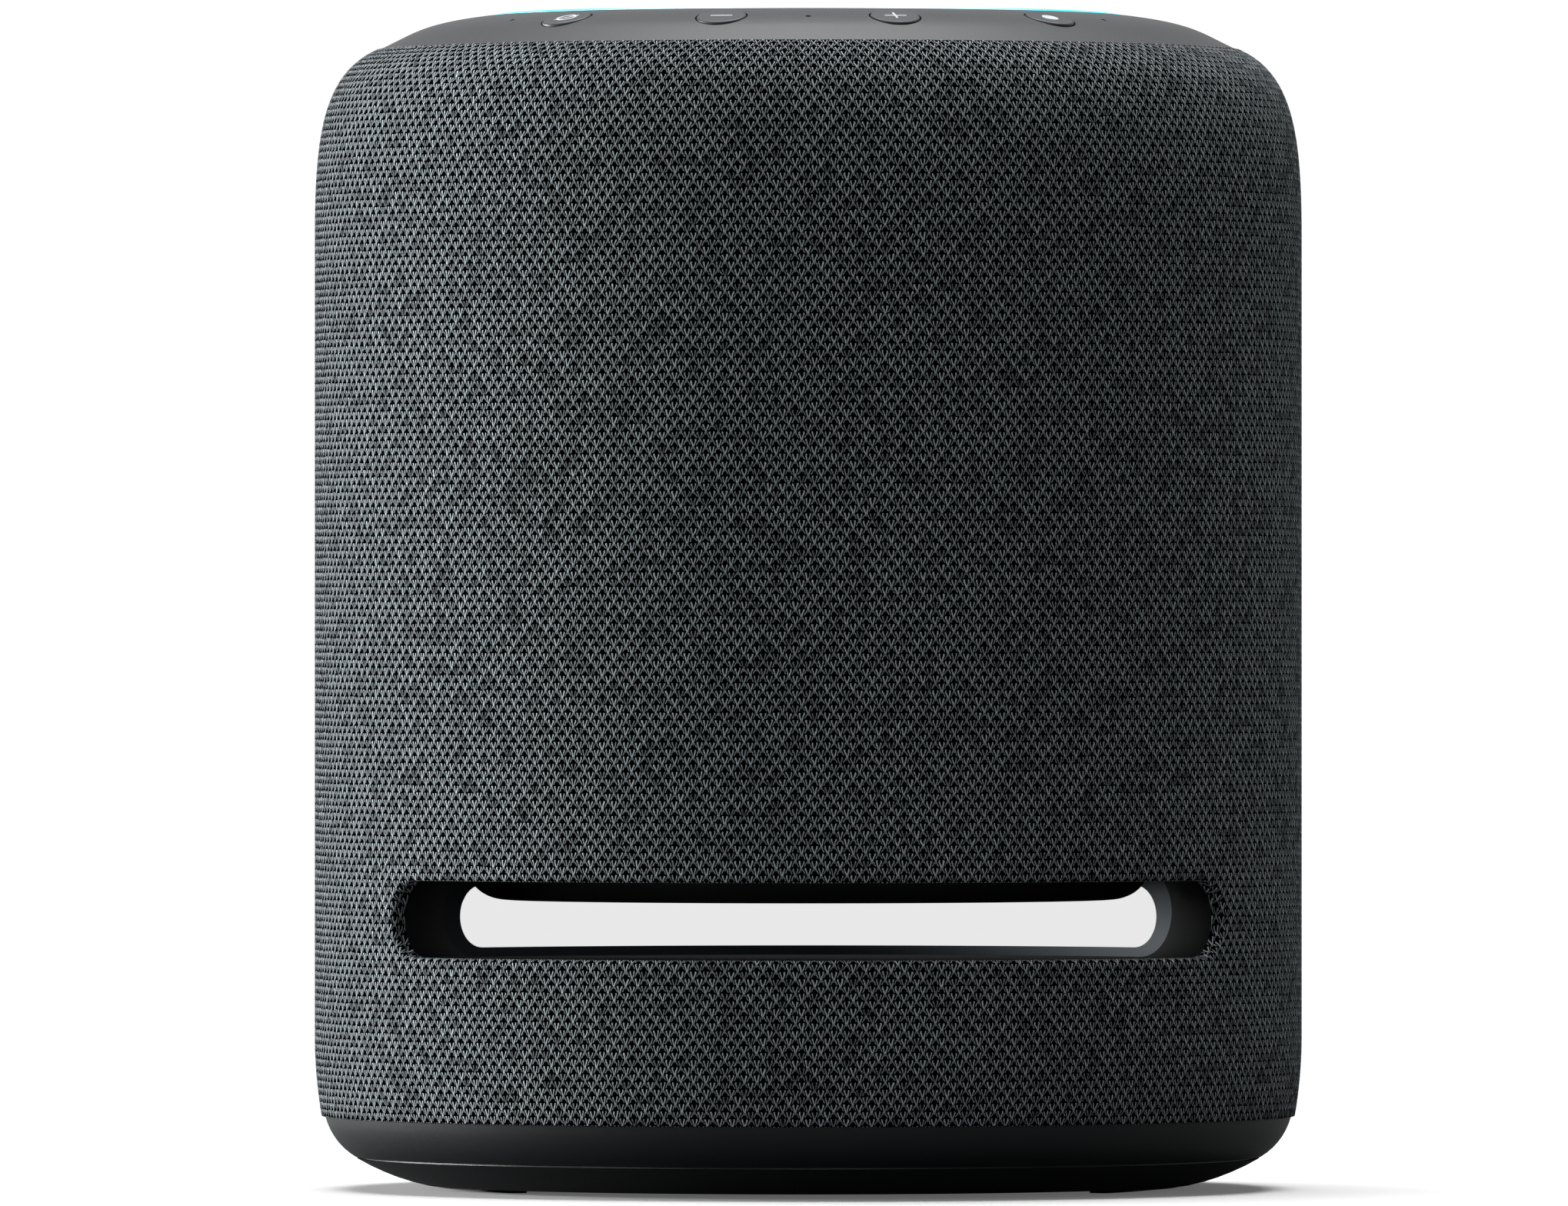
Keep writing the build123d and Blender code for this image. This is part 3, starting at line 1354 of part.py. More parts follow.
with BuildPart() as socket_panel:
    extrude(panel_outline(0, body_r + 1), amount=body_r + 1 - panel_back_y)
    Cylinder(body_r - shell_out, 2 * overall_h, mode=Mode.INTERSECT)
    extrude(panel_outline(-bezel_w, body_r + 1), amount=body_r + 1 - panel_y, mode=Mode.SUBTRACT)
    with Locations((0, (panel_back_y + flange_back_y) / 2, panel_z)):
        Box(panel_w + 3.4, panel_back_y - flange_back_y, panel_h - 1.4)
    with BuildSketch(back_sketch(flange_back_y, inlet_x)):
        SlotOverall(inlet_w + 2 * socket_gap, inlet_h + 2 * socket_gap)
    extrude(amount=10, mode=Mode.SUBTRACT)
    with BuildSketch(back_sketch(flange_back_y, jack_x)):
        Circle(jack_nose_r + socket_gap)
    extrude(amount=10, mode=Mode.SUBTRACT)
    with BuildSketch(back_sketch(flange_back_y, usb_x)):
        RectangleRounded(usb_w + 2 * socket_gap, usb_h + 2 * socket_gap, 1.2)
    extrude(amount=10, mode=Mode.SUBTRACT)
save(socket_panel, "socket_panel")

inlet_back_y = mouth_y - inlet_depth - 4.0

with BuildPart() as mains_inlet:
    with BuildSketch(back_sketch(inlet_back_y, inlet_x)):
        SlotOverall(inlet_w, inlet_h)
    extrude(amount=mouth_y - inlet_back_y)
    with BuildSketch(back_sketch(inlet_back_y, inlet_x)):
        RectangleRounded(inlet_w + 3.4, inlet_h + 3.2, 1.5)
    extrude(amount=flange_back_y - 0.2 - inlet_back_y)
    with BuildSketch(back_sketch(mouth_y - inlet_depth, inlet_x)):
        SlotOverall(inlet_w - 2 * inlet_wall, inlet_h - 2 * inlet_wall)
    extrude(amount=inlet_depth + 1, mode=Mode.SUBTRACT)
    with BuildSketch(back_sketch(inlet_back_y - 1, inlet_x)):
        with GridLocations(pin_space, 0, 2, 1):
            Circle(pin_r + 0.05)
    extrude(amount=6, mode=Mode.SUBTRACT)
save(mains_inlet, "mains_inlet")

tail_y = inlet_back_y - 3.0
with BuildPart() as inlet_pins:
    with BuildSketch(back_sketch(tail_y, inlet_x)):
        with GridLocations(pin_space, 0, 2, 1):
            Circle(pin_r)
    extrude(amount=mouth_y - pin_sunk - tail_y)
    fillet(inlet_pins.edges().group_by(Axis.Y)[-1], radius=0.5)
save(inlet_pins, "inlet_pins")

with BuildPart() as audio_jack:
    jack_back_y = mouth_y - jack_l - 2.0
    with Locations((jack_x, jack_back_y, main_top)):
        Box(9.0, flange_back_y - 0.2 - jack_back_y, panel_z - main_top + 4.2,
            align=(Align.CENTER, Align.MIN, Align.MIN))
    with BuildSketch(back_sketch(flange_back_y - 0.2, jack_x)):
        Circle(jack_nose_r)
    extrude(amount=mouth_y - flange_back_y + 0.2)
    with BuildSketch(back_sketch(mouth_y - jack_l, jack_x)):
        Circle(jack_r)
    extrude(amount=jack_l + 1, mode=Mode.SUBTRACT)
save(audio_jack, "audio_jack")

with BuildPart() as usb_socket:
    usb_back_y = mouth_y - 9.0
    with BuildSketch(back_sketch(usb_back_y, usb_x)):
        RectangleRounded(usb_w, usb_h, 1.1)
    extrude(amount=mouth_y - usb_back_y)
    with BuildSketch(back_sketch(usb_back_y + 1.0, usb_x)):
        RectangleRounded(usb_w - 0.8, usb_h - 0.8, 0.8)
    extrude(amount=mouth_y - usb_back_y, mode=Mode.SUBTRACT)
    with Locations((usb_x, usb_back_y, panel_z)):
        Box(usb_w - 2.4, 6.0, 0.7, align=(Align.CENTER, Align.MIN, Align.CENTER))
    with Locations((usb_x, usb_back_y, main_top)):
        Box(usb_w, 3.0, panel_z - usb_h / 2 - main_top + 0.3, align=(Align.CENTER, Align.MIN, Align.MIN))
save(usb_socket, "usb_socket")

# ---------------------------------------------------------------- internal leads
# Wires held along their whole way: inlet to power board, main board to the woofer's terminals and
# to the top board, the last two up through the right pillar's cable way.


def lead(points, radius):
    """Round wire along straight runs, each bend as wide as the runs beside it allow."""
    ends = [Vector(*point) for point in points]
    runs = [end - start for start, end in zip(ends, ends[1:])]
    bends = []
    for before, after in zip(runs, runs[1:]):
        turn = radians(before.get_angle(after))
        bends.append(0.45 * min(before.length, after.length) / tan(turn / 2))
    with BuildLine() as path:
        FilletPolyline(*points, radius=bends)
    start = path.line @ 0
    with BuildSketch(Plane(start, z_dir=path.line % 0)) as section:
        Circle(radius)
    sweep(section.sketch, path=path.line)


with BuildPart() as internal_leads:
    for side in (-1, 1):
        x = inlet_x + side * pin_space / 2
        lead([(x, tail_y, panel_z), (x, tail_y - 14, panel_z), (x, tail_y - 14, power_top)], 1.0)
    lead_x = woofer_basket_r - sheet_t + tab_l - 1.6
    lead_peak_z = ceiling_z + woofer_depth + 16.0
    for y in (-3.0, 3.0):
        lead(
            [
                (cable_way_x - 9.0, y, main_top),
                (cable_way_x - 9.0, y, main_top + 7.0),
                (cable_way_x, y, floor_z - plate_t - 2.0),
                (cable_way_x, y, lead_peak_z),
                (lead_x, y, lead_peak_z),
                (lead_x, y, ceiling_z + woofer_depth),
            ],
            0.8,
        )
save(internal_leads, "internal_leads")

with BuildPart() as top_cable:
    lead(
        [
            (cable_way_x - 9.0, 9.0, main_top),
            (cable_way_x - 9.0, 9.0, main_top + 7.0),
            (cable_way_x, 9.0, floor_z - plate_t - 2.0),
            (cable_way_x, 9.0, baffle_z1 + 6.0),
            (cable_hole, cable_hole, baffle_z1 + 50.0),
            (cable_hole, cable_hole, board_z0),
        ],
        1.5,
    )
save(top_cable, "top_cable")
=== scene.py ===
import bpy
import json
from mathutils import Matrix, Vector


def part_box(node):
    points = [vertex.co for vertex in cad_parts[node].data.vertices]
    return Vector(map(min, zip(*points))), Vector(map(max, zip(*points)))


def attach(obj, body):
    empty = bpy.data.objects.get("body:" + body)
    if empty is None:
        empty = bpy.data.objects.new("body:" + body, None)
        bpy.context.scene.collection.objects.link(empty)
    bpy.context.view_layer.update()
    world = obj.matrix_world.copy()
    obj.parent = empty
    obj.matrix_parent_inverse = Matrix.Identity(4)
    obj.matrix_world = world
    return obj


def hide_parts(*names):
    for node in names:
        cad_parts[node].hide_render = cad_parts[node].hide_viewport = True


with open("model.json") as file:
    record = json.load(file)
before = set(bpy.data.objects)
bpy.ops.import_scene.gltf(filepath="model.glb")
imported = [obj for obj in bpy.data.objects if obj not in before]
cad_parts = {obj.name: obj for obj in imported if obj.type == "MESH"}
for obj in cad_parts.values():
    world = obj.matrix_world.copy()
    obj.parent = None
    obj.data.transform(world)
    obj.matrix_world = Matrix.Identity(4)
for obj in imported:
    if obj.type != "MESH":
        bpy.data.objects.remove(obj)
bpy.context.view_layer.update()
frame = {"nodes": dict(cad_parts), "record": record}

import json
from math import pi, radians

import bpy
import numpy as np
from mathutils import Vector

nodes = frame["nodes"]
record = frame["record"]

# ---------------------------------------------------------------- inner parts
# Everything sealed in the housing: loudspeaker drivers, boards, leads and screws. They are bought
# parts in pressed steel, ferrite, paper, glass-fibre board and moulded plastic.


def colour(code):
    """Linear RGBA of an sRGB hex code."""
    parts = [int(code[i:i + 2], 16) / 255 for i in (0, 2, 4)]
    return tuple(c / 12.92 if c <= 0.04045 else ((c + 0.055) / 1.055) ** 2.4 for c in parts) + (1.0,)


def new_material(name):
    """Empty node material; returns it, its tree and its Principled shader."""
    made = bpy.data.materials.new(name)
    made.use_nodes = True
    return made, made.node_tree, made.node_tree.nodes["Principled BSDF"]


def put(tree, kind, *values, named=None, output=0, **settings):
    """Adds a shader node with its settings and returns one of its output sockets.

    Inputs come in their own order, or by name or number in named. One that is a socket is linked, and
    any other becomes the input's value.
    """
    made = tree.nodes.new("ShaderNode" + kind)
    for key, value in settings.items():
        setattr(made, key, value)
    for key, value in [*enumerate(values), *(named or {}).items()]:
        if isinstance(value, bpy.types.NodeSocket):
            tree.links.new(value, made.inputs[key])
        else:
            made.inputs[key].default_value = value
    return made.outputs[output]


drift_mm = 25.0  # size of the slow change of tone over a moulding
rough_spread = 0.14  # change of roughness from the low to the high of the grain


def solid(name, code, roughness, grain_mm, depth_mm, shade=0.25, metal=0.0, ior=1.5):
    """One colour that lightens and darkens by shade, half with a fine grain and half with a slow drift.

    The grain also changes the roughness and stands depth_mm high in the surface.
    """
    made, tree, shader = new_material(name)
    place = put(tree, "TexCoord", output="Object")
    grain = put(tree, "TexNoise", named={"Vector": place, "Scale": 1000.0 / grain_mm, "Detail": 3.0})
    drift = put(tree, "TexNoise", named={"Vector": place, "Scale": 1000.0 / drift_mm, "Detail": 2.0})
    base = colour(code)
    dark = tuple(c * (1 - shade) for c in base[:3]) + (1.0,)
    light = tuple(min(1.0, c * (1 + shade)) for c in base[:3]) + (1.0,)
    half_drift = put(tree, "Math", drift, 0.5, operation="MULTIPLY")
    share = put(tree, "Math", grain, 0.5, half_drift, operation="MULTIPLY_ADD")
    tone = put(tree, "Mix", named={0: share, 6: dark, 7: light}, data_type="RGBA", output=2)
    tree.links.new(tone, shader.inputs["Base Color"])
    rough = put(tree, "Math", grain, rough_spread, roughness - rough_spread / 2, operation="MULTIPLY_ADD")
    tree.links.new(rough, shader.inputs["Roughness"])
    shader.inputs["Metallic"].default_value = metal
    shader.inputs["IOR"].default_value = ior
    bump = put(tree, "Bump", named={"Height": grain, "Distance": depth_mm / 1000, "Strength": 1.0})
    tree.links.new(bump, shader.inputs["Normal"])
    return made


def dress(material, *names):
    """Gives CAD nodes their real material."""
    for name in names:
        mesh = nodes[name].data
        mesh.materials.clear()
        mesh.materials.append(material)


# sprayed on pressed steel: even and fairly dull
black_frame = solid("driver_frame_black_paint", "17181a", 0.45, 0.5, 0.01)
# ground ceramic: dark, dry and dull
ferrite = solid("sintered_ferrite", "2b2b2d", 0.75, 0.4, 0.02)
# barrel plated: cool grey with a soft shine
zinc = solid("zinc_plated_steel", "b4b6b6", 0.38, 0.3, 0.004, 0.12, 1.0, 2.5)
# felted fibre: no shine
paper = solid("pressed_paper_pulp", "1c1c1d", 0.85, 0.6, 0.05)
# cloth sealed with a tacky coat: faint shine
silk = solid("coated_silk_dome", "1a1b1d", 0.6, 0.35, 0.03)
# cotton stiffened with resin: amber and dry
spider_cloth = solid("resin_treated_cloth", "9c7a35", 0.8, 0.5, 0.06)
# lacquered wire: warm and bright
copper = solid("enamelled_copper_winding", "a4592c", 0.35, 0.25, 0.03, 0.2, 1.0, 1.5)
# moulded: satin black
rubber = solid("black_butyl_rubber", "101112", 0.62, 0.6, 0.015)
# cured lacquer over the weave: green, half gloss
board_green = solid("solder_mask_on_glass_fibre", "0b4a2c", 0.4, 1.2, 0.01, 0.3)
# transfer moulded: dull black
component_black = solid("moulded_component_black", "1b1b1d", 0.55, 0.3, 0.015)
# moulded lamp bodies: off-white, half gloss
led_white = solid("white_led_package", "dcdcd6", 0.4, 0.4, 0.005, 0.08)
# drawn through a die: pale, soft shine
aluminium = solid("extruded_aluminium", "b9babc", 0.42, 0.35, 0.006, 0.1, 1.0, 1.5)
# flash plated: pale gold and bright
brass_pin = solid("nickel_flashed_brass", "c8bd9c", 0.3, 0.3, 0.003, 0.1, 1.0, 1.5)
# extruded: smooth black
sheath = solid("pvc_wire_sheath", "151516", 0.5, 0.8, 0.01)

dress(black_frame, "woofer_frame", "mid_frames", "tweeter_plate")
dress(ferrite, "woofer_magnet", "mid_magnets", "tweeter_magnet")
dress(zinc, "woofer_iron", "driver_screws", "base_screws", "board_screws", "shield_cans", "usb_socket")
dress(paper, "woofer_cone", "woofer_dust_cap", "mid_left_cone", "mid_right_cone", "mid_top_cone")
dress(silk, "tweeter_dome")
dress(spider_cloth, "woofer_spider")
dress(copper, "woofer_voice_coil")
dress(rubber, "woofer_surround", "mid_left_surround", "mid_right_surround", "mid_top_surround",
      "woofer_gasket", "mic_seals")
dress(board_green, "ring_board", "main_board", "power_board")
dress(component_black, "power_transformer", "power_capacitors", "amplifier_chip", "microphones",
      "tact_switches")
dress(led_white, "ring_leds")
dress(aluminium, "heat_sink")
dress(brass_pin, "inlet_pins")
dress(sheath, "internal_leads", "top_cable")

# ---------------------------------------------------------------- housing mouldings
# The tube, the slot module and the decks are moulded in black ABS with a fine spark texture. Through
# the slot the tube's rear lip is painted a lighter grey as painted light, and its front near black as
# painted shade.

# moulded against a spark-eroded tool: near black, with a fine dull grain
shell_abs = solid("black_abs_spark_texture", "0c0d0e", 0.6, 0.45, 0.02)
# the same plastic with a coarser texture, painted darker than the shell as painted shade, which keeps the
# slot dark inside
tunnel_abs_painted_shade = solid("black_abs_dull_texture_painted_shade", "040505", 0.85, 0.45, 0.03)
tunnel_abs_painted_shade.node_tree.nodes["Principled BSDF"].inputs["Specular IOR Level"].default_value = 0.08


lip_grain = 2200.0  # lumps to a metre, 0.45 mm each
lip_grain_h = 0.00002


def lip_with_painted_light_and_shade():
    """Black ABS painted near black where y is 0 or less, as painted shade, and charcoal grey wherever y is
    over 0, the rear lip of the window, as painted light where it is lit.
    """
    made, tree, shader = new_material("black_abs_painted_lit_rear_lip_and_shaded_front")
    place = put(tree, "TexCoord", output="Object")
    y = put(tree, "SeparateXYZ", place, output=1)
    grain = put(tree, "TexNoise", named={"Vector": place, "Scale": lip_grain, "Detail": 3.0})
    # painted light and shade: y over 0 picks the rear lip, painted grey where it is lit, and the rest is
    # painted near black as shade
    rear = put(tree, "Math", y, 0.0, operation="GREATER_THAN")
    painted_light_greys = {0: grain, 6: colour("474e52"), 7: colour("53595e")}
    grey = put(tree, "Mix", named=painted_light_greys, data_type="RGBA", output=2)
    # 050606 is painted shade on the front of the window, and the grey is painted light on the rear lip
    tones = {0: rear, 6: colour("050606"), 7: grey}
    tone = put(tree, "Mix", named=tones, data_type="RGBA", output=2)
    tree.links.new(tone, shader.inputs["Base Color"])
    rough = put(tree, "Math", grain, rough_spread, 0.6, operation="MULTIPLY_ADD")
    tree.links.new(rough, shader.inputs["Roughness"])
    shader.inputs["Specular IOR Level"].default_value = 0.15
    bump = put(tree, "Bump", named={"Height": grain, "Distance": lip_grain_h, "Strength": 1.0})
    tree.links.new(bump, shader.inputs["Normal"])
    return made


dress(shell_abs, "outer_shell", "top_deck", "top_grille")
dress(tunnel_abs_painted_shade, "port_floor", "port_pillars", "port_baffle")
dress(lip_with_painted_light_and_shade(), "slot_shell")

# ---------------------------------------------------------------- base
# A bowl and a bottom cover in black polycarbonate, satin outside, with a fine open seam between
# them, and two arcs of rubber to stand on.

# satin finish: black with a soft shine along its curve
base_pc = solid("satin_black_polycarbonate", "101416", 0.45, 0.5, 0.008)
# moulded rubber: dull black
foot_rubber = solid("black_foot_rubber", "0d0d0e", 0.8, 0.7, 0.03)

dress(base_pc, "base_shell", "base_pan")
dress(foot_rubber, "foot_pads")

# ---------------------------------------------------------------- sockets
# A recessed panel with the mains inlet, the audio jack and the small data socket.

# glass-filled and moulded: dull black
socket_pbt = solid("black_pbt_socket", "0e0e0f", 0.5, 0.4, 0.01)

dress(base_pc, "socket_panel")
dress(socket_pbt, "mains_inlet", "audio_jack")

# ---------------------------------------------------------------- knit sleeve
# A stretched tube of warp-knitted polyester over the plastic tube. Its bottom edge turns under, its
# top edge rolls in against the band, and each opening's edge turns in over the moulding.

# Light grey heather yarn on a charcoal ground: the light loops show as small Vs that meet in a
# staggered lattice, with near black between them: partly the charcoal ground and partly painted
# shade in the gaps between the loops.
wale = 2.2  # mm from one V to the next along a row
course = 1.28  # mm from one row to the next
wobble_by = 0.42  # stitches that a loop may stand away from its place
tip_gain = 1.15  # the tips catch more light than the legs
back_gain = 0.58  # the yarns behind the legs catch less
yarn_h = 0.00035


def stroke(tree, x, y, a, b, thick):
    """Share of a straight yarn from a to b, in mm: 1 on its line, falling evenly to 0 at thick from it.

    The nearest point of the line is found first, held between its ends.
    """
    ax, ay = a
    dx, dy = b[0] - ax, b[1] - ay
    length = dx * dx + dy * dy
    px = put(tree, "Math", x, ax, operation="SUBTRACT")
    py = put(tree, "Math", y, ay, operation="SUBTRACT")
    up_part = put(tree, "Math", py, dy / length, operation="MULTIPLY")
    along = put(tree, "Math", px, dx / length, up_part, operation="MULTIPLY_ADD", use_clamp=True)
    off_x = put(tree, "Math", along, -dx, px, operation="MULTIPLY_ADD")
    off_y = put(tree, "Math", along, -dy, py, operation="MULTIPLY_ADD")
    square_y = put(tree, "Math", off_y, off_y, operation="MULTIPLY")
    square = put(tree, "Math", off_x, off_x, square_y, operation="MULTIPLY_ADD")
    distance = put(tree, "Math", square, operation="SQRT")
    return put(tree, "Math", distance, -1.0 / thick, 1.0, operation="MULTIPLY_ADD", use_clamp=True)


def knit_material(name, light, dark):
    """Staggered lattice of V loops drawn from the stitch coordinates: half wales across, rows up.

    Each loop is the larger of two pairs of yarns, its legs and tip in front and its spread and stem
    behind. The front pair differs from loop to loop by chance, and over many loops by a slow noise.
    The share of light yarn is that value to a power, times a fine fibre noise.
    """
    made, tree, shader = new_material(name)
    stitches = put(tree, "UVMap", uv_map="stitches")
    wobble = put(tree, "TexNoise", named={"Vector": stitches, "Scale": 0.9, "Detail": 1.5}, output="Color")
    shift = put(tree, "VectorMath", wobble, (0.5, 0.5, 0.5), operation="SUBTRACT")
    reach = (wobble_by, wobble_by, 0.0)
    moved = put(tree, "VectorMath", shift, reach, stitches, operation="MULTIPLY_ADD")
    across, up = put(tree, "SeparateXYZ", moved).node.outputs[:2]

    row = put(tree, "Math", up, operation="FLOOR")
    rise = put(tree, "Math", up, row, operation="SUBTRACT")
    row_above_zero = put(tree, "Math", row, 1000.0, operation="ADD")
    stagger = put(tree, "Math", row_above_zero, 2.0, operation="MODULO")
    staggered = put(tree, "Math", across, stagger, operation="SUBTRACT")
    lane = put(tree, "Math", staggered, 0.5, operation="MULTIPLY")
    column = put(tree, "Math", lane, operation="ROUND")
    side = put(tree, "Math", lane, column, operation="SUBTRACT")
    side = put(tree, "Math", side, operation="ABSOLUTE")
    x_low = put(tree, "Math", side, wale, operation="MULTIPLY")
    x_high = put(tree, "Math", wale / 2, x_low, operation="SUBTRACT")
    y_low = put(tree, "Math", rise, course, operation="MULTIPLY")
    y_high = put(tree, "Math", y_low, course, operation="SUBTRACT")

    leg = stroke(tree, x_low, y_low, (0.07, 0.0), (0.38, 1.05), 0.165)
    spread = stroke(tree, x_high, y_high, (0.08, 0.0), (0.56, -0.95), 0.145)
    stem = stroke(tree, x_high, y_high, (0.0, 0.2), (0.0, -0.45), 0.135)
    tip = stroke(tree, x_low, y_low, (0.37, 0.9), (0.38, 1.2), 0.18)

    cell = put(tree, "CombineXYZ", column, row)
    chance = put(tree, "TexWhiteNoise", named={"Vector": cell}, noise_dimensions="2D")
    heather = put(tree, "TexNoise", named={"Vector": stitches, "Scale": 0.35, "Detail": 3.0})
    fibre = put(tree, "TexNoise", named={"Vector": stitches, "Scale": 5.0, "Detail": 2.0})
    by_chance = put(tree, "Math", chance, 1.15, 0.4, operation="MULTIPLY_ADD")
    by_heather = put(tree, "Math", heather, 1.4, 0.3, operation="MULTIPLY_ADD")
    full = put(tree, "Math", by_chance, by_heather, operation="MULTIPLY")

    bright_tip = put(tree, "Math", tip, tip_gain, operation="MULTIPLY")
    front = put(tree, "Math", leg, bright_tip, operation="MAXIMUM")
    front = put(tree, "Math", front, full, operation="MULTIPLY")
    back = put(tree, "Math", spread, stem, operation="MAXIMUM")
    back = put(tree, "Math", back, back_gain, operation="MULTIPLY")
    yarn = put(tree, "Math", front, back, operation="MAXIMUM")
    crisp = put(tree, "Math", yarn, 1.7, operation="POWER")
    speckle = put(tree, "Math", fibre, 4.0, -0.5, operation="MULTIPLY_ADD")
    share = put(tree, "Math", crisp, speckle, operation="MULTIPLY", use_clamp=True)
    tones = {0: share, 6: colour(dark), 7: colour(light)}
    tone = put(tree, "Mix", named=tones, data_type="RGBA", output=2)
    tree.links.new(tone, shader.inputs["Base Color"])
    shader.inputs["Roughness"].default_value = 0.95
    shader.inputs["Specular IOR Level"].default_value = 0.0
    relief = put(tree, "Math", fibre, 0.25, yarn, operation="MULTIPLY_ADD")
    bump = put(tree, "Bump", named={"Height": relief, "Distance": yarn_h, "Strength": 1.0})
    tree.links.new(bump, shader.inputs["Normal"])
    return made


# the near-black 010202 is partly the charcoal ground and partly painted shade in the gaps between the
# loops
knit = knit_material("heather_knit_charcoal", "e8f3f9", "010202")

columns = 492  # half wales round the body
low_corner, high_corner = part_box("knit_sleeve")
sleeve_r = (high_corner[0] - low_corner[0]) / 2
sleeve_z0 = low_corner[2]
sleeve_z1 = high_corner[2]
panel_low, panel_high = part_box("socket_panel")


stitch_swell = 0.00007  # height of the soft checker that the stitches make
foot_inset = 0.0012
taper_rise = 0.014  # the taper's handle is halfway up it
shoulder_drop = 0.0327
shoulder_inset = 0.0106
handle_up = 0.018
handle_in = 0.00906
handle_down = 0.00423
profile_steps = 60


def new_piece(name, points, faces, stitches=None):
    """Smooth mesh object from points and faces, with stitch coordinates for each face corner."""
    mesh = bpy.data.meshes.new(name)
    mesh.from_pydata(points.tolist(), [], faces.tolist() if isinstance(faces, np.ndarray) else faces)
    if stitches is not None:
        layer = mesh.uv_layers.new(name="stitches")
        layer.data.foreach_set("uv", stitches.astype(np.float32).ravel())
    mesh.polygons.foreach_set("use_smooth", [True] * len(mesh.polygons))
    mesh.update()
    piece = bpy.data.objects.new(name, mesh)
    bpy.context.collection.objects.link(piece)
    return piece


def side_profile():
    """Radius and height up the side: a quadratic Bezier taper, a straight stretch, then a cubic Bezier."""
    t = np.linspace(0, 1, profile_steps)[:, None]
    foot = np.array([[sleeve_r - foot_inset, sleeve_z0]])
    bulge = np.array([[sleeve_r, sleeve_z0 + taper_rise / 2]])
    top = np.array([[sleeve_r, sleeve_z0 + taper_rise]])
    taper = (1 - t) ** 2 * foot + 2 * t * (1 - t) * bulge + t ** 2 * top
    bend = np.array([[sleeve_r, sleeve_z1 - shoulder_drop]])
    end = np.array([[sleeve_r - shoulder_inset, sleeve_z1]])
    handle = bend + [[0, handle_up]]
    lean = end + [[handle_in, -handle_down]]
    shoulder = (1 - t) ** 3 * bend + 3 * (1 - t) ** 2 * t * handle
    shoulder = shoulder + 3 * (1 - t) * t ** 2 * lean + t ** 3 * end
    return np.vstack([taper, shoulder])


profile = side_profile()
lengths = np.concatenate([[0], np.cumsum(np.hypot(*np.diff(profile, axis=0).T))])
rows = int(round(lengths[-1] / (course / 1000)))
row_step = lengths[-1] / rows


def on_side(u, v, depth=0.0, relief=1.0):
    """Points of the side at stitch coordinates, moved along its normal by a swell less the depth.

    The swell is the product of two cosines, one across the stitches and one up them.
    """
    where = np.clip(v * row_step, 0, lengths[-1])
    r = np.interp(where, lengths, profile[:, 0])
    z = np.interp(where, lengths, profile[:, 1])
    step = 0.0004  # how far up and down the side its slope is taken
    r_up = np.interp(np.minimum(where + step, lengths[-1]), lengths, profile[:, 0])
    r_down = np.interp(np.maximum(where - step, 0), lengths, profile[:, 0])
    z_up = np.interp(np.minimum(where + step, lengths[-1]), lengths, profile[:, 1])
    z_down = np.interp(np.maximum(where - step, 0), lengths, profile[:, 1])
    size = np.hypot(r_up - r_down, z_up - z_down)
    n_r, n_z = (z_up - z_down) / size, -(r_up - r_down) / size
    swell = stitch_swell * relief * np.cos(pi * u) * np.cos(pi * v) - depth
    turn = 2 * pi * u / columns
    r, z = r + n_r * swell, z + n_z * swell
    return np.stack([r * np.sin(turn), -r * np.cos(turn), z], axis=-1)


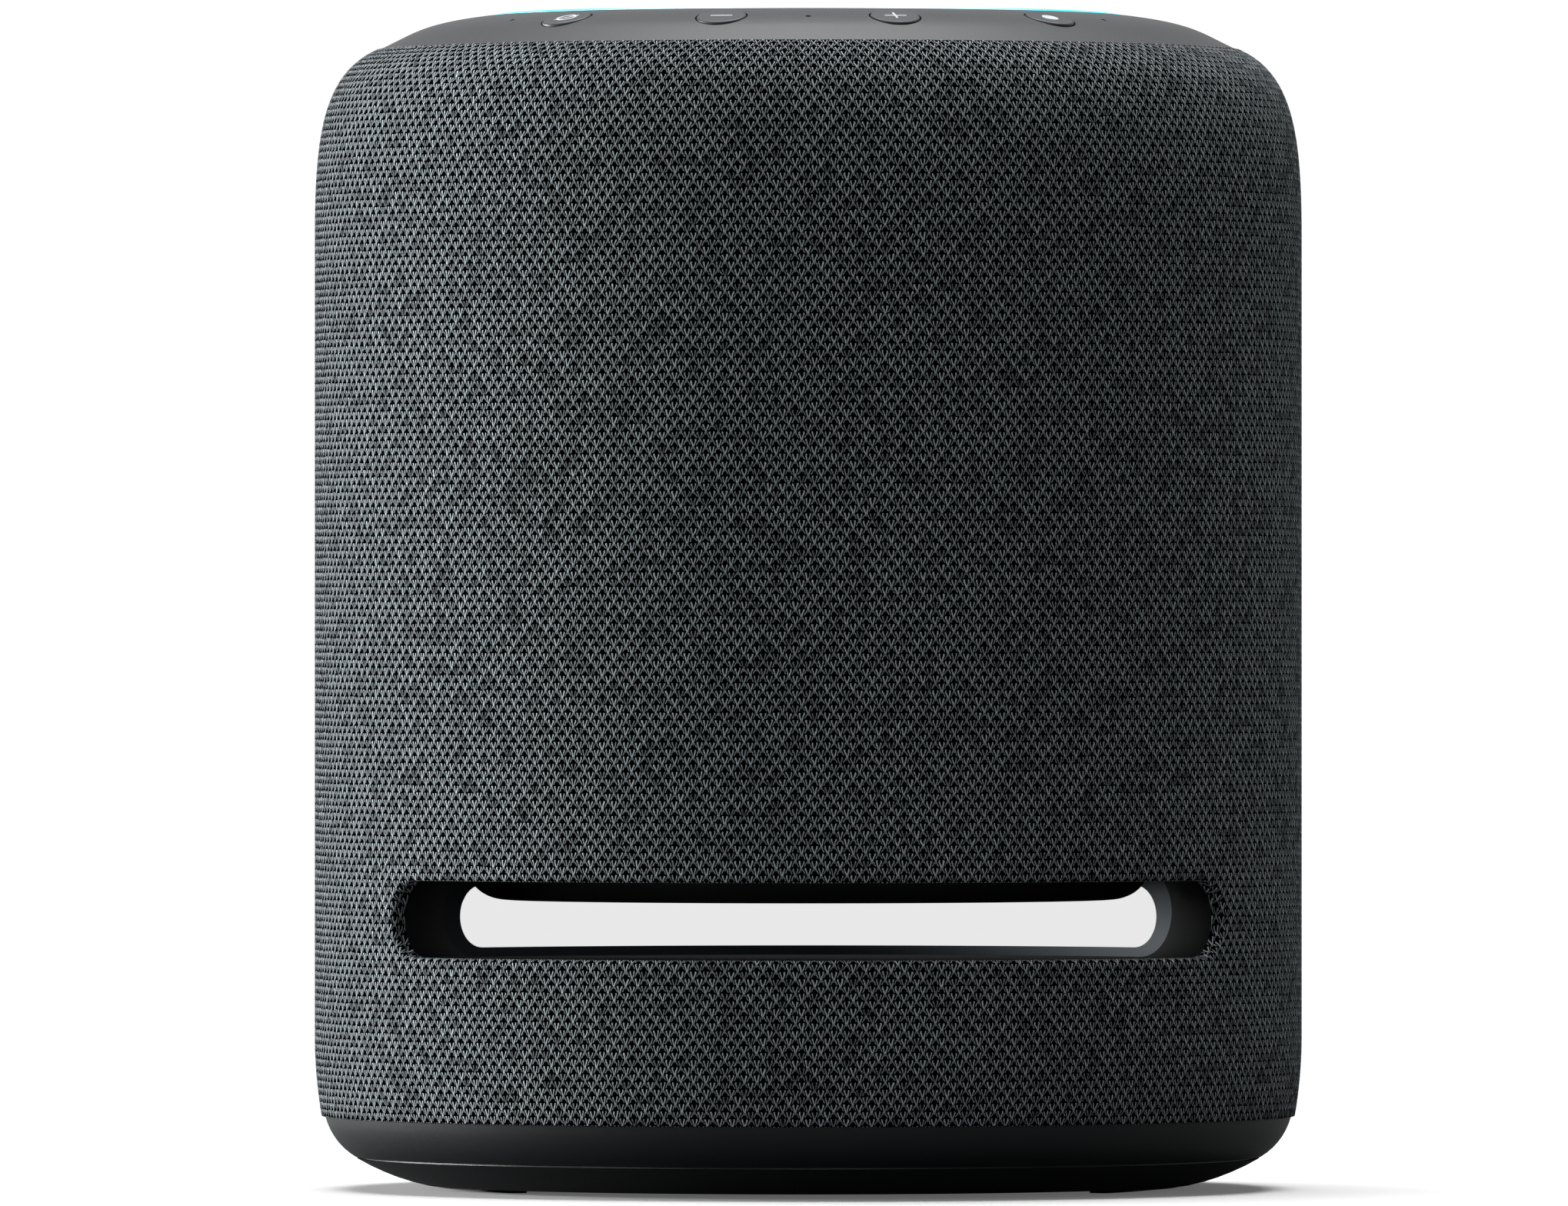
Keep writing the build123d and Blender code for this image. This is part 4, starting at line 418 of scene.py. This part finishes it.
def sleeve():
    """Grid of the tube, with a patch of rings round each opening in place of the grid there.

    A ring goes from the patch's border towards the opening's outline, a rectangle with round corners.
    The last ones follow a quarter circle over the edge and then go straight in as the hem.
    """
    unit_u = 2 * pi * sleeve_r / columns
    round_r = 0.0009  # radius of the turn over an opening's edge
    panel_gap = 0.00015
    probe = 0.0001  # depth over which the direction of the surface is taken

    def row_at(z):
        """Row coordinate at a height of the side."""
        return float(np.interp(z, profile[:, 1], lengths)) / row_step

    # centre column, half width, low and high edge, corner radius, margins in grid steps, depth of hem
    openings = (
        (0, sleeve_r * radians(56.6), 0.0416, 0.0550, None, 5, 4, 0.0019),
        (columns // 2, sleeve_r * radians(47.4), 0.0404, 0.0540, None, 5, 3, 0.0003),
        (columns // 2, 0.0294, panel_low[2] - panel_gap, panel_high[2] + panel_gap, 0.0042, 3, 2, 0.0020),
    )
    quads, corners = [], []
    ii, jj = np.meshgrid(np.arange(columns), np.arange(rows + 1), indexing="ij")
    points = [on_side(ii.ravel().astype(float), jj.ravel().astype(float))]
    count = columns * (rows + 1)
    keep = np.ones((columns, rows), dtype=bool)

    for centre, half_w, z_low, z_high, corner, side_steps, level_steps, hem in openings:
        v_low, v_high = row_at(z_low), row_at(z_high)
        mid_v, half_v = (v_low + v_high) / 2, (v_high - v_low) / 2
        half_h = half_v * row_step
        radius = half_h if corner is None else corner
        i_half = int(np.ceil(half_w / unit_u)) + side_steps
        j0 = int(np.floor(v_low)) - level_steps + 1
        j1 = int(np.ceil(v_high)) + level_steps - 1
        span = np.arange(-i_half, i_half)
        keep[np.ix_((centre + span) % columns, np.arange(j0, j1))] = False
        loop = [(i, j0) for i in range(-i_half, i_half)] + [(i_half, j) for j in range(j0, j1)]
        loop += [(i, j1) for i in range(i_half, -i_half, -1)] + [(-i_half, j) for j in range(j1, j0, -1)]
        loop = np.array(loop)
        border = loop[:, 1] + ((centre + loop[:, 0]) % columns) * (rows + 1)
        s, t = loop[:, 0] * unit_u, (loop[:, 1] - mid_v) * row_step
        core_s = np.clip(s, -(half_w - radius), half_w - radius)
        core_t = np.clip(t, -(half_h - radius), half_h - radius)
        away = np.stack([s - core_s, t - core_t], axis=1)
        away /= np.linalg.norm(away, axis=1)[:, None]
        edge = np.stack([core_s, core_t], axis=1) + away * radius
        start = edge + away * round_r
        border_flat = np.stack([s, t], axis=1)
        shares = [k / level_steps for k in range(1, level_steps + 1)]
        rings = [(border_flat * (1 - share) + start * share, 0.0, 0.0, 1.0) for share in shares]
        for angle in (25, 50, 75, 90):
            a = radians(angle)
            inwards = edge + away * round_r * (1 - np.sin(a))
            rings.append((inwards, round_r * (1 - np.cos(a)), round_r * a, 1.6))
        for extra in np.linspace(0, hem, 5)[1:]:
            rings.append((edge, round_r + extra, round_r * pi / 2 + extra, 1.2))
        before = border
        before_uv = np.stack([loop[:, 0] + centre, loop[:, 1]], axis=1).astype(float)
        for flat, depth, turned, swell in rings:
            u = centre + flat[:, 0] / unit_u
            v = mid_v + flat[:, 1] / row_step
            if turned:
                u_pattern = centre + (start[:, 0] - away[:, 0] * turned) / unit_u
                v_pattern = mid_v + (start[:, 1] - away[:, 1] * turned) / row_step
            else:
                u_pattern, v_pattern = u, v
            swelling = np.cos(pi * u_pattern) * np.cos(pi * v_pattern)
            base = on_side(u, v, depth, 0.0)
            lift = on_side(u, v, depth - probe, 0.0) - base
            move = stitch_swell * swell * swelling
            points.append(base + lift * (move / probe)[:, None])
            ring = count + np.arange(len(loop))
            count += len(loop)
            ring_uv = np.stack([u_pattern, v_pattern], axis=1)
            after = np.roll(np.arange(len(loop)), -1)
            quads.append(np.stack([before, before[after], ring[after], ring], axis=1))
            corners.append(np.stack([before_uv, before_uv[after], ring_uv[after], ring_uv], axis=1))
            before, before_uv = ring, ring_uv

    # the top edge rolls over and down inside, and the bottom edge turns under; each step is a change of
    # radius, a change of height and a share of the puff that the stitches give it
    top = rows + np.arange(columns) * (rows + 1)
    bottom = np.arange(columns) * (rows + 1)
    turn = 2 * pi * np.arange(columns) / columns
    puff = np.cos(pi * np.arange(columns))
    rim_puff = 0.00009
    end_r, end_z = profile[-1]
    rim = (
        (-0.00022, 0.00010, 1.0),
        (-0.00046, 0.00002, 1.2),
        (-0.00058, -0.00022, 0.8),
        (-0.00060, -0.0008, 0.0),
    )
    foot_r, foot_z = profile[0]
    under = (
        (-0.00015, -0.00008, 0.6),
        (-0.00045, -0.0001, 0.6),
        (-0.0007, 0.00003, 0.0),
        (-0.00075, 0.0006, 0.0),
    )
    edges = ((top, rim, end_r, end_z, rows, 1), (bottom, under, foot_r, foot_z, 0, -1))
    for before, ends, r0, z0, v0, sign in edges:
        i = np.arange(columns)
        v_before = float(v0)
        for k, (dr, dz, swell) in enumerate(ends, 1):
            r = r0 + dr
            z = z0 + dz + rim_puff * swell * puff
            points.append(np.stack([r * np.sin(turn), -r * np.cos(turn), z * np.ones(columns)], axis=1))
            ring = count + i
            count += columns
            after = np.roll(i, -1)
            v_now = v0 + sign * 0.3 * k
            uv = [(i, v_before), (i + 1, v_before), (i + 1, v_now), (i, v_now)]
            uv = np.stack([np.stack([a, np.full(columns, b)], axis=1) for a, b in uv], axis=1)
            order = np.stack([before, before[after], ring[after], ring], axis=1)
            if sign < 0:
                order, uv = order[:, ::-1], uv[:, ::-1]
            quads.append(order)
            corners.append(uv)
            before, v_before = ring, v_now

    gi, gj = np.nonzero(keep)
    gi_next = (gi + 1) % columns
    grid = np.stack([gi * (rows + 1) + gj, gi_next * (rows + 1) + gj, gi_next * (rows + 1) + gj + 1,
                     gi * (rows + 1) + gj + 1], axis=1)
    square = ((0, 0), (1, 0), (1, 1), (0, 1))
    grid_uv = np.stack([np.stack([gi + a, gj + b], axis=1) for a, b in square], axis=1)
    quads.append(grid)
    corners.append(grid_uv.astype(float))
    points, quads, corners = np.vstack(points), np.vstack(quads), np.vstack(corners)
    used = np.unique(quads)
    renumber = np.zeros(len(points), dtype=int)
    renumber[used] = np.arange(len(used))
    return points[used], renumber[quads], corners.reshape(-1, 2)


sleeve_piece = new_piece("sleeve_knit", *sleeve())
sleeve_piece.data.materials.append(knit)
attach(sleeve_piece, "housing")
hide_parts("knit_sleeve")

# ---------------------------------------------------------------- top band
# Moulded ring of charcoal polycarbonate that closes the top of the housing. It carries the four keys
# and the microphone holes, and its inner edge holds the light ring.

# fine matt texture: dark, with a soft shine where it bends away
band_pc = solid("matt_charcoal_polycarbonate", "1c1f21", 0.42, 0.35, 0.012, 0.12)

dress(band_pc, "top_ring")

# ---------------------------------------------------------------- buttons and their marks
# Four round keys in the band's plastic. Each has a fine raised mark in pale grey ink: a crossed
# ring, a minus, a plus and a dot.

# the same plastic, a little lighter and smoother
key_pc = solid("matt_key_polycarbonate", "24282b", 0.46, 0.35, 0.01, 0.12)
# printed and cured: pale and even
ink = solid("pale_grey_ink", "c3cbcf", 0.5, 0.3, 0.004, 0.06)

dress(key_pc, "mute_button", "volume_down_button", "volume_up_button", "action_button")


face_depth = 0.00002  # how far under its highest point the top face is taken


def key_seat(name):
    """Centre of a key's top face, with its right, up-the-band and outward directions.

    Outward is against the way it is pressed, and the top face is what lies furthest along it.
    """
    joint = next(j for j in record["behaviour"]["joints"] if j["child"] == name)
    outward = -Vector(joint["axis"]).normalized()
    places = [v.co for v in nodes[name].data.vertices]
    reach = max(p.dot(outward) for p in places)
    face = [p for p in places if p.dot(outward) > reach - face_depth]
    centre = sum(face, Vector()) / len(face)
    flat = Vector((outward.x, outward.y, 0)).normalized()
    right = Vector((-flat.y, flat.x, 0))
    return centre, right, outward.cross(right), outward


def ribbon(path, width, height, closed):
    """Low raised line: a rounded profile of five points, square to a flat path at each of its points."""
    path = np.asarray(path, dtype=float)
    if closed:
        ahead, behind = np.roll(path, -1, axis=0), np.roll(path, 1, axis=0)
    else:
        ahead, behind = np.vstack([path[1:], path[-1:]]), np.vstack([path[:1], path[:-1]])
    along = ahead - behind
    along /= np.linalg.norm(along, axis=1)[:, None]
    left = np.stack([-along[:, 1], along[:, 0]], axis=1)
    shape = np.array([[-0.5, 0], [-0.42, 0.7], [0, 1], [0.42, 0.7], [0.5, 0]])
    flat = path[:, None, :] + left[:, None, :] * (shape[None, :, :1] * width)
    rise = np.broadcast_to(shape[None, :, 1:] * height, flat.shape[:2] + (1,))
    points = np.concatenate([flat, rise], axis=2).reshape(-1, 3)
    n, m = len(path), len(shape)
    k = np.arange(n if closed else n - 1)
    quads = []
    for a in range(m - 1):
        b = a + 1
        nxt = (k + 1) % n
        quads.append(np.stack([k * m + a, k * m + b, nxt * m + b, nxt * m + a], axis=1)[:, ::-1])
    return points, np.vstack(quads)


def circle(radius, count=40):
    """Evenly spaced points round a circle: radius times the cosine and the sine of the turn."""
    turn = np.linspace(0, 2 * pi, count, endpoint=False)
    return np.stack([radius * np.cos(turn), radius * np.sin(turn)], axis=1)


def bar(x0, y0, x1, y1):
    """Six evenly spaced points along a straight line."""
    t = np.linspace(0, 1, 6)[:, None]
    return (1 - t) * [[x0, y0]] + t * [[x1, y1]]


line_w = 0.00038
line_h = 0.00009
arm = 0.00195  # half length of the minus and the plus
mute_r = 0.00165
slash = 0.00156  # the slash across the ring, each way from its middle
dot_rings = (0.0002, 0.0005, 0.0008, 0.0011, 0.0013)
marks = {
    "mute_button": [(circle(mute_r), True), (bar(-slash, -slash, slash, slash), False)],
    "volume_down_button": [(bar(-arm, 0, arm, 0), False)],
    "volume_up_button": [(bar(-arm, 0, arm, 0), False), (bar(0, -arm, 0, arm), False)],
    "action_button": [(circle(radius), True) for radius in dot_rings],
}
for key, lines in marks.items():
    centre, right, up, outward = key_seat(key)
    points, quads, count = [], [], 0
    for path, closed in lines:
        flat, faces = ribbon(path, line_w, line_h, closed)
        points.append(flat)
        quads.append(faces + count)
        count += len(flat)
    flat = np.vstack(points)
    axes = np.array([right, up, outward])
    mark = new_piece(key.replace("button", "mark"), np.array(centre) + flat @ axes, np.vstack(quads))
    mark.data.materials.append(ink)
    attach(mark, key)

# ---------------------------------------------------------------- light ring
# Opal polycarbonate diffuser pressed into the band, lit from inside by the lamps on the ring board:
# cyan round the sides and the back, and white towards the front.


def glow():
    """Opal diffuser with an inner light that turns from white to cyan with the distance sideways.

    The share of cyan is a smooth step of the sideways distance over the ring's radius, is full behind
    the middle, and drifts by a slow noise.
    """
    made, tree, shader = new_material("lit_opal_polycarbonate")
    place = put(tree, "TexCoord", output="Object")
    x, y = put(tree, "SeparateXYZ", place).node.outputs[:2]
    ring_low, ring_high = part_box("light_ring")
    ring_r = (ring_high[0] - ring_low[0]) / 2
    cloud_scale = 150.0  # lumps to a metre, 6.7 mm each
    cloud_share = 0.12
    sideways = put(tree, "Math", x, operation="ABSOLUTE")
    sideways = put(tree, "Math", sideways, 1 / ring_r, operation="MULTIPLY")
    behind = put(tree, "Math", y, 0.0, operation="GREATER_THAN")
    sideways = put(tree, "Math", sideways, behind, operation="MAXIMUM")
    ease = put(tree, "MapRange", sideways, 0.12, 0.8, 0.0, 1.0, interpolation_type="SMOOTHSTEP")
    cloud = put(tree, "TexNoise", named={"Vector": place, "Scale": cloud_scale, "Detail": 2.0})
    centred = put(tree, "Math", ease, cloud_share / 2, operation="SUBTRACT")
    share = put(tree, "Math", cloud, cloud_share, centred, operation="MULTIPLY_ADD", use_clamp=True)
    tones = {0: share, 6: colour("f2ffff"), 7: colour("00d2ff")}
    light = put(tree, "Mix", named=tones, data_type="RGBA", output=2)
    tree.links.new(light, shader.inputs["Base Color"])
    tree.links.new(light, shader.inputs["Emission Color"])
    shader.inputs["Emission Strength"].default_value = 0.9
    shader.inputs["Roughness"].default_value = 0.35
    return made


dress(glow(), "light_ring")

# ---------------------------------------------------------------- top cloth
# Disc of the same knit stretched over the top grille, flush inside the light ring. Its edge turns
# down between the grille and the ring.

dome = 0.00035  # how far the cloth falls from its middle to its edge
half_wale = 0.0011
row_gap = 0.00128


def cloth():
    """Rings about one centre point: the height falls with the square of the radius.

    A product of two cosines of the place ripples it, which dies away towards the edge, and two more
    rings turn the edge down.
    """
    low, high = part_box("top_knit")
    reach = (high[0] - low[0]) / 2
    count, steps = 180, 48
    share = np.linspace(0, 1, steps + 1)[1:]
    turn = np.linspace(0, 2 * pi, count, endpoint=False)
    edge_gap, ripple_h, ripple_fade, sink = 0.0003, 0.00005, 0.004, 0.00006
    r, a = np.meshgrid(share * (reach - edge_gap), turn, indexing="ij")
    x, y = r * np.cos(a), r * np.sin(a)
    z = high[2] - dome * (r / reach) ** 2
    ripple = ripple_h * np.cos(pi * x / half_wale) * np.cos(pi * y / row_gap)
    z = z - sink + ripple * np.clip((reach - r) / ripple_fade, 0, 1)
    rings = [np.stack([x, y, z], axis=-1).reshape(-1, 3)]
    edge = np.stack([np.cos(turn), np.sin(turn)], axis=1)
    edge_z = high[2] - dome
    for radius, height in ((reach - 0.00005, edge_z - 0.00015), (reach, edge_z - 0.0004)):
        rings.append(np.column_stack([edge * radius, np.full(count, height)]))
    points = np.vstack([[[0, 0, high[2] - 0.00002]], *rings])
    k = np.arange(count)
    after = (k + 1) % count
    quads = []
    for n in range(steps + 1):
        inner, outer = 1 + n * count, 1 + (n + 1) * count
        quads.append(np.stack([inner + k, outer + k, outer + after, inner + after], axis=1))
    middle = np.stack([np.zeros(count, dtype=int), 1 + k, 1 + after], axis=1).tolist()
    faces = np.vstack(quads).tolist() + middle
    loops = np.concatenate([np.asarray(face) for face in faces])
    stitches = points[loops][:, :2] / [half_wale, row_gap]
    return points, faces, stitches


cloth_piece = new_piece("cloth_disc", *cloth())
cloth_piece.data.materials.append(knit)
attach(cloth_piece, "housing")
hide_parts("top_knit")

# ---------------------------------------------------------------- floor, light and camera
# Flat white paper under an open white surround. A long low light stands behind on the left, a broad one
# hangs above, and three weak ones fill the front left, the right and the front.

camera_distance = 3.82


def floor():
    """Wide flat sheet: a grid of points at height 0, closer together near the object."""
    y = np.concatenate([[-6.0, -2.0, -0.6], np.linspace(-0.3, 0.6, 8), [2.0, 4.0, 6.0]])
    x = np.linspace(-5, 5, 12)
    xx, yy = np.meshgrid(x, y, indexing="ij")
    points = np.stack([xx, yy, np.zeros_like(xx)], axis=-1).reshape(-1, 3)
    n = len(y)
    i, j = np.meshgrid(np.arange(len(x) - 1), np.arange(n - 1), indexing="ij")
    k = (i * n + j).ravel()
    return points, np.stack([k, k + n, k + n + 1, k + 1], axis=1)


def backdrop_paper():
    """White paper that takes a soft shadow near the object and glows evenly further out.

    The glow's share is a smooth step of the distance from the object. It is pale grey in a wedge more
    than 0.8 m behind the object, whose sides run towards the camera's place: a painted shadow of the
    object on the paper. The wedge shows through the slot, and in views from other places it shows
    beside the object too. Rays that don't come straight from the camera see dark paper, so the floor
    throws little light back up.
    """
    made, tree, shader = new_material("white_backdrop_paper")
    tooth_scale = 900.0  # lumps to a metre, 1.1 mm each
    painted_shadow_start = 0.8
    painted_shadow_slope, painted_shadow_edge = 0.018, 0.0195
    place = put(tree, "TexCoord", output="Object")
    tooth = put(tree, "TexNoise", named={"Vector": place, "Scale": tooth_scale, "Detail": 2.0})
    direct = put(tree, "LightPath", output="Is Camera Ray")
    whites = {0: tooth, 6: colour("f4f4f4"), 7: colour("ffffff")}
    paper = put(tree, "Mix", named=whites, data_type="RGBA", output=2)
    seen_as = {0: direct, 6: colour("505050"), 7: paper}
    tone = put(tree, "Mix", named=seen_as, data_type="RGBA", output=2)
    tree.links.new(tone, shader.inputs["Base Color"])
    shader.inputs["Roughness"].default_value = 0.9
    x, y = put(tree, "SeparateXYZ", place).node.outputs[:2]
    flat = put(tree, "CombineXYZ", x, y)
    reach = put(tree, "VectorMath", flat, operation="LENGTH", output="Value")
    far = put(tree, "MapRange", reach, 0.14, 0.52, 0.1, 1.0, interpolation_type="SMOOTHSTEP")
    aside = put(tree, "Math", x, operation="ABSOLUTE")
    ahead = put(tree, "Math", y, camera_distance, operation="ADD")
    slope = put(tree, "Math", aside, ahead, operation="DIVIDE")
    outside = put(tree, "MapRange", slope, painted_shadow_slope, painted_shadow_edge, 0.0, 1.0)
    near = put(tree, "Math", y, painted_shadow_start, operation="LESS_THAN")
    off_painted_shadow = put(tree, "Math", outside, near, operation="MAXIMUM")
    # painted shadow: e8e8e8 in the wedge behind the object, the full white glow elsewhere
    glows = {0: off_painted_shadow, 6: colour("e8e8e8"), 7: (1.04, 1.04, 1.04, 1.0)}
    bright = put(tree, "Mix", named=glows, data_type="RGBA", output=2)
    lit = put(tree, "Emission", bright, 1.0)
    share = put(tree, "Math", far, direct, operation="MULTIPLY")
    mix = put(tree, "MixShader", share, shader.outputs[0], lit)
    tree.links.new(mix, tree.nodes["Material Output"].inputs["Surface"])
    return made


ground = new_piece("floor", *floor())
ground.data.materials.append(backdrop_paper())


def softbox(name, place, aim, size, power):
    """Rectangular soft light, size metres wide and high, of power watts, that looks at a point."""
    lamp = bpy.data.lights.new(name, "AREA")
    lamp.shape = "RECTANGLE"
    lamp.size, lamp.size_y = size
    lamp.energy = power
    holder = bpy.data.objects.new(name, lamp)
    holder.location = place
    holder.rotation_euler = (Vector(aim) - Vector(place)).to_track_quat("-Z", "Y").to_euler()
    bpy.context.collection.objects.link(holder)


softbox("left_light", (-2.35, 0.8, 0.24), (0, 0, 0.1), (1.6, 0.46), 124)
softbox("front_left_light", (-2.05, -1.45, 0.3), (0, 0, 0.1), (1.2, 0.56), 14)
softbox("right_light", (2.45, 0.8, 0.6), (0, 0, 0.1), (1.0, 1.4), 3.5)
softbox("front_light", (0.3, -3.4, 0.3), (0, 0, 0.08), (1.0, 0.5), 7)
softbox("top_light", (0, 0.3, 2.4), (0, 0, 0), (2.4, 2.0), 108)

world = bpy.data.worlds.new("white_studio")
bpy.context.scene.world = world
world.use_nodes = True
sky = world.node_tree
sky.nodes.clear()
path = put(sky, "LightPath").node.outputs
white = (1.0, 1.0, 1.0, 1.0)
# gloss sees a little under half of the white that the camera sees, and other rays a faint fill
seen = put(sky, "Math", path["Is Glossy Ray"], 0.45, path["Is Camera Ray"], operation="MULTIPLY_ADD")
fill = put(sky, "Background", white, 0.05)
backdrop = put(sky, "Background", white, 1.05)
both = put(sky, "MixShader", seen, fill, backdrop)
sky.links.new(both, sky.nodes.new("ShaderNodeOutputWorld").inputs[0])

bpy.context.scene.view_settings.view_transform = "Standard"

picture_width = 2039
lens = bpy.data.cameras.new("camera")
lens.lens = 497.0
lens.sensor_width = 36.0
lens.shift_x = -31.5 / picture_width
lens.shift_y = 1 / picture_width
lens.clip_start = 0.5
lens.clip_end = 50.0
camera = bpy.data.objects.new("camera", lens)
camera.location = (0, -camera_distance, 0.1032)
camera.rotation_euler = (pi / 2, 0, 0)
bpy.context.collection.objects.link(camera)
bpy.context.scene.camera = camera
